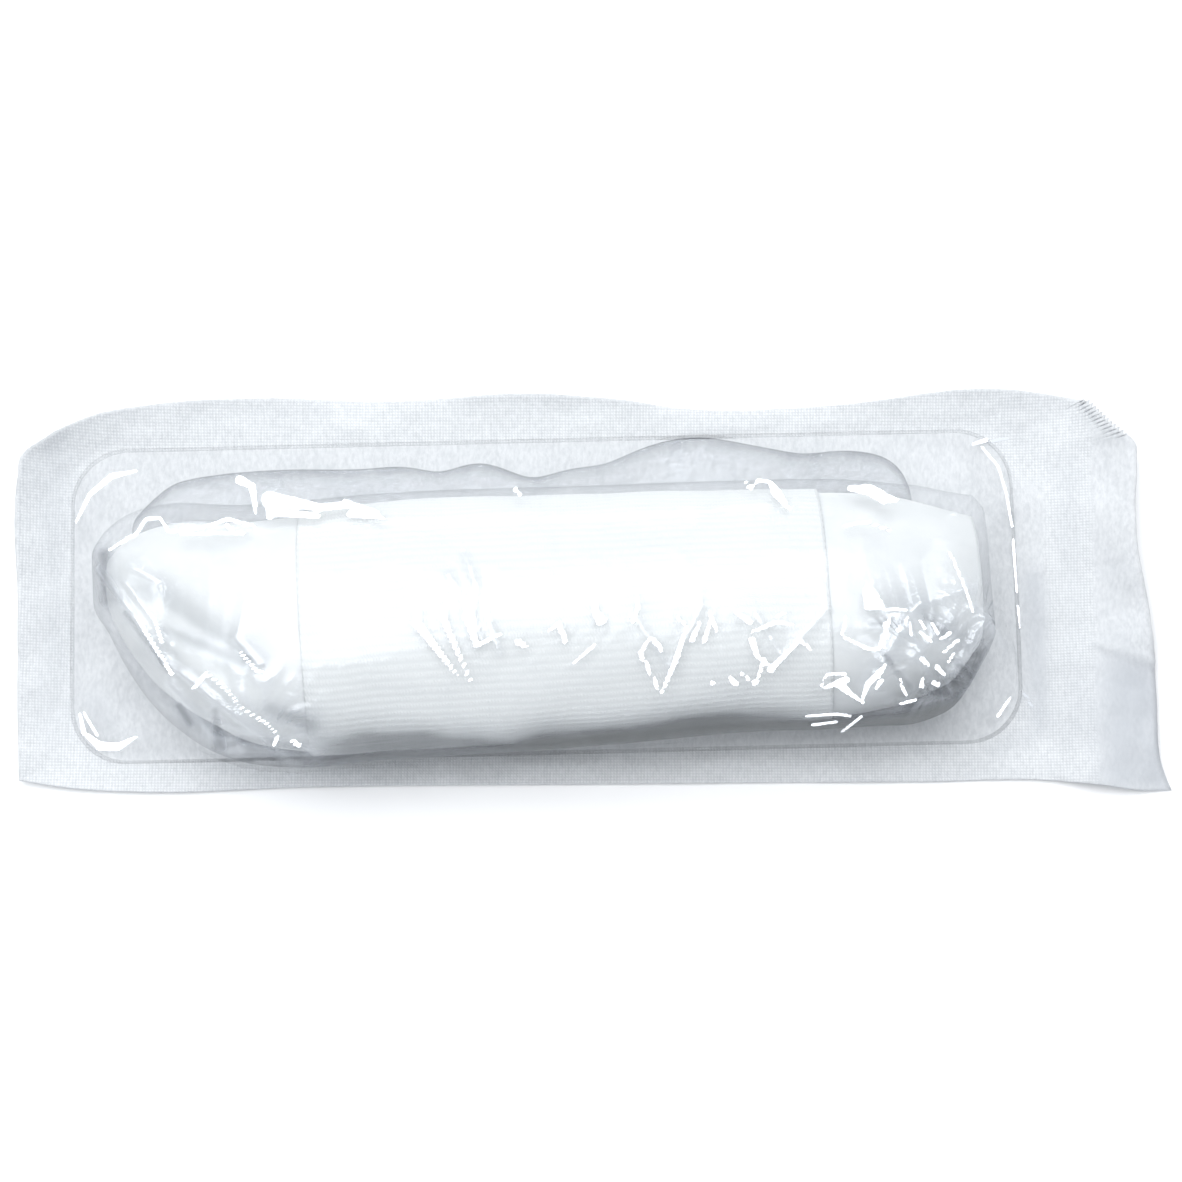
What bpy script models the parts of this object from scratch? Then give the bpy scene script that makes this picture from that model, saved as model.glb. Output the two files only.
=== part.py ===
"""Emergency trauma bandage, sealed in its peel pack.

A padded compress is wound over a rolled bandage and held by the bandage's outer turns. The roll lies in a loose
inner wrap of thin film, inside a pack of clear formed film that is heat-sealed to a paper web with a peel tab.

Run it with blender --background --python part.py, or from Blender's text editor. Metres, +Z up. +X runs along the
pack to its peel tab, +Y to its back edge, and the origin lies under the middle of the pack, on its resting plane.
"""

import math

import bpy
import numpy as np

MM = 0.001

# The wound roll
PAD_LENGTH = 168.0 * MM
PAD_ROLL_WIDTH = 46.8 * MM
PAD_ROLL_HEIGHT = 37.0 * MM
PAD_THICKNESS = 5.0 * MM
PAD_TURNS = 2
BANDAGE_WIDTH = 100.0 * MM
BANDAGE_THICKNESS = 0.8 * MM
BANDAGE_OFFSET = 3.8 * MM
OUTER_TURNS = 1.2
CORE_LAYER = 2.2 * MM
CORE_TURNS = 4.5
ROLL_TURN = math.radians(3.6)
ROLL_TO_FRONT = 8.0 * MM

# The loose wrap round the roll
WRAP_THICKNESS = 0.3 * MM
WRAP_SLACK = 3.5 * MM
WRAP_END_LEFT = 2.4 * MM
WRAP_END_RIGHT = 2.0 * MM
END_BLUNTNESS = 0.45
SKIRT_REACH = 13.0 * MM
SKIRT_ROOT = 2.5 * MM

# The formed film's cavity
END_ROOM_LEFT = 10.3 * MM
END_ROOM_RIGHT = 9.5 * MM
SIDE_ROOM = 15.7 * MM
CAVITY_CORNER = 11.0 * MM
CAVITY_STEP = 2.4 * MM
CAVITY_TURN = math.radians(1.4)
FILM_THICKNESS = 0.4 * MM

# The sealed edges and the peel tab
PAPER_THICKNESS = 0.4 * MM
SEAL_LEFT = 11.4 * MM
SEAL_RIGHT = 15.4 * MM
SEAL_FRONT = 8.6 * MM
SEAL_BACK = 10.6 * MM
TAB_LENGTH = 14.6 * MM
EDGE_LIFT = 6.0 * MM

# Clearances between pieces
LAYER_GAP = 0.3 * MM
TURN_GAP = 0.15 * MM
WRAP_CLEARANCE = 0.45 * MM
FILM_CLEARANCE = 1.15 * MM
SKIRT_CLEARANCE = 1.6 * MM

CAVITY_LENGTH = END_ROOM_LEFT + PAD_LENGTH + END_ROOM_RIGHT
CAVITY_WIDTH = PAD_ROLL_WIDTH + SIDE_ROOM
PACK_LENGTH = SEAL_LEFT + CAVITY_LENGTH + SEAL_RIGHT + TAB_LENGTH
PACK_WIDTH = SEAL_FRONT + CAVITY_WIDTH + SEAL_BACK
CAVITY_X = -PACK_LENGTH / 2 + SEAL_LEFT + CAVITY_LENGTH / 2
CAVITY_Y = -PACK_WIDTH / 2 + SEAL_FRONT + CAVITY_WIDTH / 2
ROLL_X = CAVITY_X + (END_ROOM_LEFT - END_ROOM_RIGHT) / 2
ROLL_Y = CAVITY_Y - ROLL_TO_FRONT

# Room between the pad and the wrap: the bandage's two layers at its lap, their gaps and the wrap's clearance
WRAP_ROOM = 2 * (BANDAGE_THICKNESS + TURN_GAP) + WRAP_CLEARANCE
PAD_UNDERSIDE = PAPER_THICKNESS + LAYER_GAP + WRAP_THICKNESS + WRAP_ROOM
FLANGE_FILM_HEIGHT = PAPER_THICKNESS + LAYER_GAP

# Edges of the pack, seen from above. along: share of the pack's length, from the left, or of its width, from the
# front. inset: how far the edge lies inside the nominal rectangle, as a share of the pack's width. lift: height of
# the waving edge, as a share of EDGE_LIFT.
FRONT_EDGE = (  # along, inset, lift
    (0.006, 0.026, 0.35),
    (0.048, 0.009, 0.20),
    (0.114, 0.000, 0.10),
    (0.248, 0.012, 0.05),
    (0.502, 0.020, 0.10),
    (0.776, 0.026, 0.02),
    (0.914, 0.025, 0.02),
    (0.937, 0.016, 0.10),
    (0.970, 0.004, 0.20),
    (1.000, 0.006, 0.30),
)
RIGHT_EDGE = (  # along, inset, lift
    (0.006, 0.000, 0.30),
    (0.080, 0.029, 0.45),
    (0.211, 0.034, 0.60),
    (0.332, 0.039, 0.55),
    (0.444, 0.051, 0.80),
    (0.584, 0.079, 1.15),
    (0.700, 0.084, 1.30),
    (0.801, 0.078, 1.30),
    (0.853, 0.084, 1.25),
    (0.885, 0.122, 1.20),
    (0.959, 0.195, 1.10),
)
BACK_EDGE = (  # along, inset, lift
    (0.030, 0.122, 1.00),
    (0.065, 0.075, 0.80),
    (0.112, 0.048, 0.60),
    (0.198, 0.027, 0.35),
    (0.315, 0.033, 0.15),
    (0.462, 0.018, 0.50),
    (0.529, 0.031, 0.30),
    (0.578, 0.049, 0.05),
    (0.693, 0.045, 0.10),
    (0.759, 0.028, 0.30),
    (0.809, 0.010, 0.45),
    (0.848, 0.006, 0.55),
    (0.881, 0.015, 0.65),
    (0.930, 0.041, 0.90),
)
LEFT_EDGE = (  # along, inset, lift
    (0.026, 0.017, 0.35),
    (0.238, 0.008, 0.40),
    (0.448, 0.004, 0.50),
    (0.769, 0.000, 0.90),
    (0.826, 0.012, 1.00),
    (0.878, 0.085, 1.00),
)

# Sections of the wound pad. along: share of the pad's length, from the left. width and height: shares of the
# roll's width and height. shift: how far the section's middle lies to the back, as a share of the roll's width.
ROLL_SECTIONS = (  # along, width, height, shift
    (0.000, 0.24, 0.46, 0.240),
    (0.017, 0.43, 0.58, 0.205),
    (0.040, 0.60, 0.70, 0.160),
    (0.075, 0.75, 0.82, 0.110),
    (0.115, 0.86, 0.91, 0.060),
    (0.213, 0.98, 1.00, 0.000),
    (0.308, 1.00, 1.00, 0.004),
    (0.554, 0.98, 1.00, -0.005),
    (0.720, 0.94, 0.99, -0.002),
    (0.869, 0.90, 0.95, -0.018),
    (0.933, 0.81, 0.85, -0.015),
    (0.972, 0.70, 0.74, 0.000),
    (1.000, 0.54, 0.60, 0.050),
)
END_SAG = 0.45

# The wrap's loose outline. along: share of the pad's length. front and back: slack beside the roll, as shares of
# WRAP_SLACK. skirt: how far the flattened film spreads behind the roll, as a share of SKIRT_REACH.
WRAP_OUTLINE = (  # along, front, back, skirt
    (0.000, 0.4, 0.5, 0.00),
    (0.050, 0.7, 0.4, 0.45),
    (0.093, 0.8, 0.3, 0.80),
    (0.140, 0.6, 0.0, 0.95),
    (0.214, 0.2, 0.0, 0.90),
    (0.295, 0.0, 0.0, 0.71),
    (0.387, 0.0, 0.0, 0.51),
    (0.436, 0.0, 0.0, 0.66),
    (0.492, 0.0, 0.0, 0.36),
    (0.541, 0.0, 0.0, 0.52),
    (0.611, 0.0, 0.0, 0.77),
    (0.679, 0.0, 0.0, 0.98),
    (0.760, 0.0, 0.0, 0.82),
    (0.801, 0.0, 0.0, 0.75),
    (0.866, 0.1, 0.0, 0.88),
    (0.911, 0.5, 0.0, 0.65),
    (0.937, 0.6, 0.1, 0.20),
    (0.960, 0.6, 0.1, 0.00),
    (1.000, 0.3, 0.2, 0.00),
)

# Mesh steps
LONG_STEPS = 26
SHORT_STEPS = 10
LOOP = 2 * (LONG_STEPS + SHORT_STEPS)
SPACING_EASE = 0.55
FLANGE_RINGS = (0.0, 0.3, 0.65, 1.0)
DOME_STEPS = 9
BEND_WEIGHT = 4.0 * MM
WRAP_ANGLES = np.radians((-84, -64, -48, -38, -28, -12, 14, 40, 64, 84))
SKIRT_ANGLE = math.radians(-38)
SKIRT_SPREAD = math.radians(9)
TURN_SEGMENTS = 24
LEFT_STATIONS = (0.0, 0.075, 0.18, 0.33, 0.51)
BANDAGE_STATIONS = (0.0, 0.3, 0.65, 1.0)
RIGHT_STATIONS = (0.4, 0.72, 1.0)
SPINE_MARGIN = 0.09


def read_table(table, at):
    """Columns of a table, after its first, at the given values of the first, on a smooth curve through the rows."""
    rows = np.array(table, float)
    keys, values = rows[:, 0], rows[:, 1:]
    at = np.clip(at, keys[0], keys[-1])
    slopes = np.gradient(values, keys, axis=0)
    low = np.clip(np.searchsorted(keys, at, side="right") - 1, 0, len(keys) - 2)
    span = (keys[low + 1] - keys[low])[:, None]
    t = (at - keys[low])[:, None] / span
    start, end = values[low], values[low + 1]
    smooth = t * t * (3 - 2 * t)
    bend_in = t * (1 - t) ** 2 * span * slopes[low]
    bend_out = t * t * (t - 1) * span * slopes[low + 1]
    return (start + (end - start) * smooth + bend_in + bend_out).T


def side_shares(count):
    """Shares from 0 up to 1, without 1, that lie closer together near both corners."""
    t = np.arange(count) / count
    return (1 - SPACING_EASE) * t + SPACING_EASE * (1 - np.cos(math.pi * t)) / 2


def walk_round(front, right, back, left):
    """Points of the four sides, counter-clockwise from the front left corner, as one loop."""
    return np.concatenate([front, right, back, left])


def pack_edge_loop():
    """(x, y, lift) of the pack's cut edge, centred on the origin."""
    long, short = side_shares(LONG_STEPS), side_shares(SHORT_STEPS)
    half_length, half_width = PACK_LENGTH / 2, PACK_WIDTH / 2

    def edge(table, shares, reverse):
        first, last = table[0][0], table[-1][0]
        along = last - (last - first) * shares if reverse else first + (last - first) * shares
        inset, lift = read_table(table, along)
        return along, inset * PACK_WIDTH, np.maximum(lift, 0) * EDGE_LIFT

    along, inset, lift = edge(FRONT_EDGE, long, False)
    front = np.stack([along * PACK_LENGTH - half_length, inset - half_width, lift], 1)
    along, inset, lift = edge(RIGHT_EDGE, short, False)
    right = np.stack([half_length - inset, along * PACK_WIDTH - half_width, lift], 1)
    along, inset, lift = edge(BACK_EDGE, long, True)
    back = np.stack([along * PACK_LENGTH - half_length, half_width - inset, lift], 1)
    along, inset, lift = edge(LEFT_EDGE, short, True)
    left = np.stack([inset - half_length, along * PACK_WIDTH - half_width, lift], 1)
    loop = walk_round(front, right, back, left)
    loop[:, :2] -= (loop[:, :2].min(0) + loop[:, :2].max(0)) / 2
    return loop


def rounded_side(shares, half_along, half_out, corner):
    """(along, out) of one side of a rounded rectangle, from the middle of one corner's arc to that of the next."""
    straight = 2 * (half_along - corner)
    arc = corner * math.pi / 4
    way = shares * (straight + 2 * arc)
    first = np.minimum(way, arc) / corner + math.pi / 4
    last = np.maximum(way - arc - straight, 0) / corner
    turning_in, turning_out = way < arc, way > arc + straight
    along = np.clip(way - arc, 0, straight) - straight / 2
    along = along - np.where(turning_in, corner * np.cos(first), 0) + corner * np.sin(last)
    angle_height = np.where(turning_in, np.sin(first), np.where(turning_out, np.cos(last), 1.0))
    return along, half_out - corner + corner * angle_height


def turned(points, angle, centre):
    """Plane points turned about the origin and moved to a centre."""
    cos, sin = math.cos(angle), math.sin(angle)
    return points @ np.array([[cos, sin], [-sin, cos]]) + np.array(centre)


def cavity_loop():
    """(x, y) of the line where the formed film leaves the flange."""
    half_length, half_width = CAVITY_LENGTH / 2, CAVITY_WIDTH / 2
    corner = min(CAVITY_CORNER, 0.95 * half_width)
    along, out = rounded_side(side_shares(LONG_STEPS), half_length, half_width, corner)
    front, back = np.stack([along, -out], 1), np.stack([-along, out], 1)
    along, out = rounded_side(side_shares(SHORT_STEPS), half_width, half_length, corner)
    right, left = np.stack([out, along], 1), np.stack([-out, -along], 1)
    return turned(walk_round(front, right, back, left), CAVITY_TURN, (CAVITY_X, CAVITY_Y))


def roll_section(share):
    """Half width, half height, sideways shift and centre height of the wound pad at shares of its length."""
    width, height, shift = read_table(ROLL_SECTIONS, share)
    half_height = height * PAD_ROLL_HEIGHT / 2
    full = PAD_ROLL_HEIGHT / 2
    centre = PAD_UNDERSIDE + full - END_SAG * (full - half_height)
    return width * PAD_ROLL_WIDTH / 2, half_height, shift * PAD_ROLL_WIDTH, centre


def roll_place(share, sideways):
    """(x, y) of points at shares of the pad's length and a distance to the back of the roll's axis."""
    local = np.stack([(share - 0.5) * PAD_LENGTH, sideways], 1)
    return turned(local, ROLL_TURN, (ROLL_X, ROLL_Y))


def spine_loop():
    """(x, y) on the roll's middle line for each point of a loop, and its share of the pad's length."""
    first, last = SPINE_MARGIN, 1 - SPINE_MARGIN
    long = first + (last - first) * side_shares(LONG_STEPS)
    share = walk_round(long, np.full(SHORT_STEPS, last), first + last - long, np.full(SHORT_STEPS, first))
    return roll_place(share, roll_section(share)[2]), share


def wrap_outline():
    """(x, y) polygon of the wrapped roll's widest line, seen from above."""
    share = np.linspace(0, 1, 61)
    half, _, shift, _ = roll_section(share)
    front, back, _ = read_table(WRAP_OUTLINE, share)
    front_line = roll_place(share, shift - half - WRAP_ROOM - front * WRAP_SLACK)
    back_line = roll_place(share, shift + half + WRAP_ROOM + back * WRAP_SLACK)
    tips = []
    for end, room in ((1.0, WRAP_END_RIGHT), (0.0, WRAP_END_LEFT)):
        half_end, _, shift_end, _ = roll_section(np.array([end]))
        beyond = np.array([end + (room if end else -room) / PAD_LENGTH])
        sides = (-1, 1) if end else (1, -1)
        tips.append([roll_place(beyond, shift_end + side * half_end) for side in sides])
    right_tip, left_tip = (np.concatenate(tip) for tip in tips)
    return np.concatenate([front_line, right_tip, back_line[::-1], left_tip])


def reach_to_outline(start, direction, outline):
    """Distance from each start, along its direction, to the far crossing of a closed outline."""
    edge = np.roll(outline, -1, axis=0) - outline
    offset = outline[None] - start[:, None]
    cross = direction[:, None, 0] * edge[None, :, 1] - direction[:, None, 1] * edge[None, :, 0]
    cross = np.where(np.abs(cross) < 1e-12, 1e-12, cross)
    way = (offset[..., 0] * edge[None, :, 1] - offset[..., 1] * edge[None, :, 0]) / cross
    place = (offset[..., 0] * direction[:, None, 1] - offset[..., 1] * direction[:, None, 0]) / cross
    return np.where((place >= 0) & (place <= 1) & (way > 0), way, 0).max(1)


def skirt_lobe(angles):
    """1 where the wrap spreads furthest behind the roll, falling to 0 above and below."""
    return np.exp(-(((angles - SKIRT_ANGLE) / SKIRT_SPREAD) ** 2))


class WrapForm:
    """The wrapped roll as upright profiles, one for each point of the cavity's loop."""

    def __init__(self, rim):
        self.spine, share = spine_loop()
        toward = rim - self.spine
        self.rim_reach = np.linalg.norm(toward, axis=1)
        self.direction = toward / self.rim_reach[:, None]
        self.reach = reach_to_outline(self.spine, self.direction, wrap_outline())
        _, half_height, _, self.centre = roll_section(share)
        self.half_height = half_height + WRAP_ROOM
        on_back = np.clip(self.direction[:, 1], 0, 1) ** 2
        end = self.spine + self.direction * self.reach[:, None]
        along = 0.5 + turned(end - (ROLL_X, ROLL_Y), -ROLL_TURN, (0, 0))[:, 0] / PAD_LENGTH
        skirt = read_table(WRAP_OUTLINE, np.clip(along, 0, 1))[2] * SKIRT_REACH * on_back
        self.skirt = np.clip(skirt, 0, np.maximum(self.rim_reach - self.reach - SKIRT_CLEARANCE, 0))
        self.squareness = 1 - END_BLUNTNESS * np.clip(np.abs(self.direction[:, 0]) * 1.6 - 0.3, 0, 1)

    def profile(self, angles):
        """(reach, height) of the wrap at each angle above the level of the roll's middle, for each loop point."""
        cos, sin = np.cos(angles)[:, None], np.sin(angles)[:, None]
        out = np.abs(cos) ** self.squareness
        up = np.sign(sin) * np.abs(sin) ** self.squareness
        skirted = ease(self.skirt / SKIRT_ROOT) * skirt_lobe(angles)[:, None]
        reach = self.reach * out + (self.reach * (1 - out) + self.skirt) * skirted
        return reach, self.centre + self.half_height * up

    def points(self, reach, height):
        """Points at a reach from the spine and a height, as rings by loop points by x, y, z."""
        flat = self.spine[None] + self.direction[None] * reach[..., None]
        return np.concatenate([flat, height[..., None]], 2)


def flange_rings(edge, rim):
    """Rings of the flange's underside, from the cut edge to the cavity's line."""
    rings = []
    for t in FLANGE_RINGS:
        flat = edge[:, :2] * (1 - t) + rim * t
        rings.append(np.concatenate([flat, edge[:, 2:] * (1 - t) ** 2], 1))
    return np.array(rings)


def ring_normals(rings):
    """Unit normals of a surface of rings, from its neighbours' differences."""
    across = np.gradient(rings, axis=0)
    around = np.roll(rings, -1, axis=1) - np.roll(rings, 1, axis=1)
    normals = np.cross(around, across)
    return normals / np.linalg.norm(normals, axis=2, keepdims=True)


def taut_profile(start, reach, height):
    """Film pulled tight from its start over a profile of points that runs up to the top.

    Its points lie closer together at a bend, so that the steps don't cut across it.
    """
    line, at = [start], -1
    current = start
    while at < len(reach) - 1:
        rise = np.arctan2(height[at + 1 :] - current[1], current[0] - reach[at + 1 :])
        at = at + 1 + int(np.argmax(rise))
        current = (reach[at], height[at])
        line.append(current)
    line = np.array(line)
    legs = np.diff(line, axis=0)
    turn = np.abs(np.diff(np.arctan2(legs[:, 1], -legs[:, 0])))
    steps = np.empty(2 * len(legs) - 1)
    steps[0::2], steps[1::2] = np.linalg.norm(legs, axis=1), turn * BEND_WEIGHT
    way = np.concatenate([[0], np.cumsum(steps)])
    corners = np.concatenate([line[:1], np.repeat(line[1:-1], 2, axis=0), line[-1:]])
    wanted = np.linspace(0, way[-1], DOME_STEPS)
    return np.interp(wanted, way, corners[:, 0]), np.interp(wanted, way, corners[:, 1])


def dome_rings(form):
    """Rings of the formed film's inner face, from just inside the cavity's line to the top of the roll."""
    angles = np.radians(np.linspace(-60, 84, 49))
    reach, height = form.profile(angles)
    spare = WRAP_THICKNESS + FILM_CLEARANCE
    out = np.maximum(np.cos(angles), skirt_lobe(angles))[:, None]
    reach, height = reach + spare * out, height + spare * np.sin(angles)[:, None]
    step_foot = form.rim_reach - 0.1 * CAVITY_STEP
    step_top = form.rim_reach - 0.3 * CAVITY_STEP
    columns = []
    for i in range(LOOP):
        start = (step_top[i], FLANGE_FILM_HEIGHT + CAVITY_STEP)
        above = height[:, i] > start[1]
        columns.append(taut_profile(start, reach[above, i], height[above, i]))
    dome = np.array(columns)
    foot = form.points(step_foot[None], np.full((1, LOOP), FLANGE_FILM_HEIGHT + 0.5 * CAVITY_STEP))
    return np.concatenate([foot, form.points(dome[:, 0].T, dome[:, 1].T)])


def ring_faces(count):
    """Faces of a surface of rings, whose last ring is closed by a strip along its two long sides."""
    faces = []
    for ring in range(count - 1):
        low, high = ring * LOOP, (ring + 1) * LOOP
        for i in range(LOOP):
            j = (i + 1) % LOOP
            faces.append((low + i, low + j, high + j, high + i))
    last = (count - 1) * LOOP
    back_end = 2 * LONG_STEPS + SHORT_STEPS
    for k in range(LONG_STEPS):
        faces.append((last + k, last + k + 1, last + back_end - k - 1, last + back_end - k))
    faces.append(tuple(last + i for i in range(LONG_STEPS, LONG_STEPS + SHORT_STEPS + 1)))
    faces.append(tuple(last + i % LOOP for i in range(back_end, LOOP + 1)))
    return faces


def material(name, colour, roughness, alpha=1.0):
    """A plain Principled material."""
    made = bpy.data.materials.new(name)
    made.use_nodes = True
    shader = made.node_tree.nodes["Principled BSDF"]
    shader.inputs["Base Color"].default_value = (*colour, 1)
    shader.inputs["Roughness"].default_value = roughness
    shader.inputs["Metallic"].default_value = 0
    shader.inputs["Alpha"].default_value = alpha
    return made


def add_object(name, points, faces, finish):
    """A smooth-shaded mesh object."""
    mesh = bpy.data.meshes.new(name)
    mesh.from_pydata(np.asarray(points, float).reshape(-1, 3).tolist(), [], faces)
    mesh.shade_smooth()
    mesh.set_sharp_from_angle(angle=math.radians(50))
    mesh.materials.append(finish)
    made = bpy.data.objects.new(name, mesh)
    bpy.context.scene.collection.objects.link(made)
    return made


def add_sheet(name, rings, thickness, finish):
    """A sheet of even thickness that stands on a surface of rings, on the side that its normals point to."""
    made = add_object(name, rings, ring_faces(len(rings)), finish)
    wall = made.modifiers.new("wall", "SOLIDIFY")
    wall.thickness = thickness
    wall.offset = 1
    return made


def add_wound_strip(name, shares, turns, inner, outer, start_angle, finish):
    """A strip wound round the roll's middle line.

    shares are its stations along the pad, and turns its places round the roll, in turns. inner and outer each give
    (share of the section's half sizes, added distance) of one face at those places.
    """
    half_width, half_height, shift, centre = roll_section(shares)
    angle = start_angle + 2 * math.pi * turns
    sections = []
    for i, share in enumerate(shares):
        faces_points = []
        for scale, added in (outer, inner):
            sideways = shift[i] + (half_width[i] * scale + added) * np.cos(angle)
            height = centre[i] + (half_height[i] * scale + added) * np.sin(angle)
            flat = roll_place(np.full(len(angle), share), sideways)
            faces_points.append(np.concatenate([flat, height[:, None]], 1))
        sections.append(np.concatenate([faces_points[0], faces_points[1][::-1]]))
    size, steps = 2 * len(turns), len(turns) - 1
    faces = []
    for station in range(len(shares) - 1):
        low, high = station * size, (station + 1) * size
        for i in range(size):
            j = (i + 1) % size
            faces.append((low + i, low + j, high + j, high + i))
    last = (len(shares) - 1) * size
    for i in range(steps):
        inner_now, inner_next = size - 1 - i, size - 2 - i
        faces.append((i, inner_now, inner_next, i + 1))
        faces.append((last + i, last + i + 1, last + inner_next, last + inner_now))
    return add_object(name, np.array(sections), faces, finish)


def ease(value):
    """0 below 0, 1 above 1, and a smooth step between."""
    t = np.clip(value, 0, 1)
    return t * t * (3 - 2 * t)


def turn_steps(first, last):
    """Places from one number of turns to another, at the roll's common corners."""
    low, high = round(first * TURN_SEGMENTS), round(last * TURN_SEGMENTS)
    return np.arange(low, high + 1) / TURN_SEGMENTS


def corner_angle(share):
    """The common corner of the roll that lies nearest to a share of a turn."""
    return 2 * math.pi * round(share * TURN_SEGMENTS) / TURN_SEGMENTS


def pad_layer(turns):
    """How many layers lie over the pad's face at a place, counted in turns from its outer end."""
    return np.where(turns < 1, 0, np.floor(turns) - 1 + ease((turns % 1) / 0.25))


def add_wound_pad(finish):
    """The compress, a thick soft sheet wound round the rolled bandage, with a tapered outer end."""
    pitch = (PAD_THICKNESS + LAYER_GAP) / (PAD_ROLL_WIDTH / 2)
    turns = turn_steps(2 / TURN_SEGMENTS, PAD_TURNS)
    outer = (1 - pitch * pad_layer(turns), 0 * turns)
    inner = (1 - pitch * pad_layer(turns + 1), 0 * turns + LAYER_GAP)
    shares = bandage_span(BANDAGE_STATIONS)
    left, right = shares[0], shares[-1]
    beside = np.array(LEFT_STATIONS) * left, right + np.array(RIGHT_STATIONS) * (1 - right)
    shares = np.concatenate([beside[0], shares, beside[1]])
    return add_wound_strip("wound_pad", shares, turns, inner, outer, corner_angle(0.6), finish)


def bandage_span(stations):
    """Shares of the pad's length for stations across the bandage, whose middle lies to the right of the pad's."""
    middle = 0.5 + BANDAGE_OFFSET / PAD_LENGTH
    return middle + (np.array(stations) - 0.5) * BANDAGE_WIDTH / PAD_LENGTH


def add_bandage_core(finish):
    """The rest of the bandage, rolled up inside the pad."""
    half_width = PAD_ROLL_WIDTH / 2
    core_face = 1 - PAD_TURNS * (PAD_THICKNESS + LAYER_GAP) / half_width
    pitch = (CORE_LAYER + LAYER_GAP) / half_width
    turns = turn_steps(0, CORE_TURNS)
    fit = min(1.0, 0.9 * core_face / (pitch * (CORE_TURNS + 1)))
    scale = core_face - pitch * fit * turns
    outer = (scale, 0 * turns - LAYER_GAP)
    inner = (scale - pitch * fit, 0 * turns)
    shares = bandage_span((0.0, 1.0))
    return add_wound_strip("bandage_core", shares, turns, inner, outer, corner_angle(0.1), finish)


def add_bandage_turns(finish):
    """The bandage's outer turn round the pad, with its end lapped over its start."""
    turns = turn_steps(0, OUTER_TURNS)
    climb = ease((turns - 0.86) / 0.12) * (BANDAGE_THICKNESS + TURN_GAP)
    inner = (1 + 0 * turns, TURN_GAP + climb)
    outer = (1 + 0 * turns, TURN_GAP + BANDAGE_THICKNESS + climb)
    shares = bandage_span(BANDAGE_STATIONS)
    return add_wound_strip("bandage_turns", shares, turns, inner, outer, corner_angle(0.7), finish)


def main():
    for old in list(bpy.data.objects):
        bpy.data.objects.remove(old)
    gauze = material("gauze", (0.93, 0.94, 0.94), 0.9)
    pad_cloth = material("pad_cloth", (0.90, 0.92, 0.92), 0.95)
    paper = material("paper", (0.78, 0.82, 0.86), 0.8)
    wrap_film = material("wrap_film", (0.90, 0.93, 0.95), 0.15, 0.30)
    pack_film = material("pack_film", (0.88, 0.92, 0.95), 0.12, 0.30)

    edge, rim = pack_edge_loop(), cavity_loop()
    form = WrapForm(rim)
    flange = flange_rings(edge, rim)
    film_flange = flange + ring_normals(flange) * FLANGE_FILM_HEIGHT
    film_flange[-1, :, 2] = FLANGE_FILM_HEIGHT

    add_bandage_core(gauze)
    add_wound_pad(pad_cloth)
    add_bandage_turns(gauze)
    add_sheet("inner_wrap", form.points(*form.profile(WRAP_ANGLES)), WRAP_THICKNESS, wrap_film)
    add_sheet("pack_film", np.concatenate([film_flange, dome_rings(form)]), FILM_THICKNESS, pack_film)
    add_sheet("paper_web", flange, PAPER_THICKNESS, paper)


main()
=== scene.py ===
"""Emergency trauma bandage in its peel pack: the looks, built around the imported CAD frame.

Metres, +Z up. +X runs along the pack to its peel tab, +Y to its back edge. The origin lies under the pack's
middle. Every surface is a numpy grid: rings by points round a loop for the films and the paper, and stations
by turns for what is wound. The sizes are those of the CAD part, and the marks of light and shade on the films
lie where the photograph shows them.
"""

import logging
import math
from dataclasses import dataclass, field
from enum import Enum
from typing import ClassVar

import bpy
import numpy as np
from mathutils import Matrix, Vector

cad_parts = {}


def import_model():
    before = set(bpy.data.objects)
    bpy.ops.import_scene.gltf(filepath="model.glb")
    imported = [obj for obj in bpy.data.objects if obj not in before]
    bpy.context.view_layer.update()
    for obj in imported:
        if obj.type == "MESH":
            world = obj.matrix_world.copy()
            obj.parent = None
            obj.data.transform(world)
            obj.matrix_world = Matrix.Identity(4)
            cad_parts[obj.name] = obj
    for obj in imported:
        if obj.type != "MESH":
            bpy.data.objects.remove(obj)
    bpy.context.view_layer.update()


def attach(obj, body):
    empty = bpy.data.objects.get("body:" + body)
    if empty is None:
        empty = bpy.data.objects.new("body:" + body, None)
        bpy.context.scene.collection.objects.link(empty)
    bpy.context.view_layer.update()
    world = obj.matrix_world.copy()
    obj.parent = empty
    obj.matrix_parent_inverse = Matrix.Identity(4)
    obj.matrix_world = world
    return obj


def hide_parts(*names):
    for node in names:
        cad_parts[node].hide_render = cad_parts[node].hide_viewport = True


MM = 0.001
BODY = "root"
VIEW_ELEVATION = math.radians(80)
VIEW_DISTANCE = 0.70
FINEST_STREAK = 0.27 * MM
TINY = 1e-12
log = logging.getLogger("trauma_bandage")

Array = np.ndarray
Table = tuple[tuple[float, ...], ...]


class Slot(Enum):
    """The record's material slots."""

    GAUZE = "gauze"
    PAD = "pad_cloth"
    WRAP = "wrap_film"
    FILM = "pack_film"
    PAPER = "paper"


class Seed(Enum):
    """Starting numbers of the noise fields, so that every run gives the same creases."""

    WARP = 3
    CRINKLE = 11
    FINE = 17
    WAVE = 23
    PAD = 31
    END = 41


# Curves, noise and creases


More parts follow.
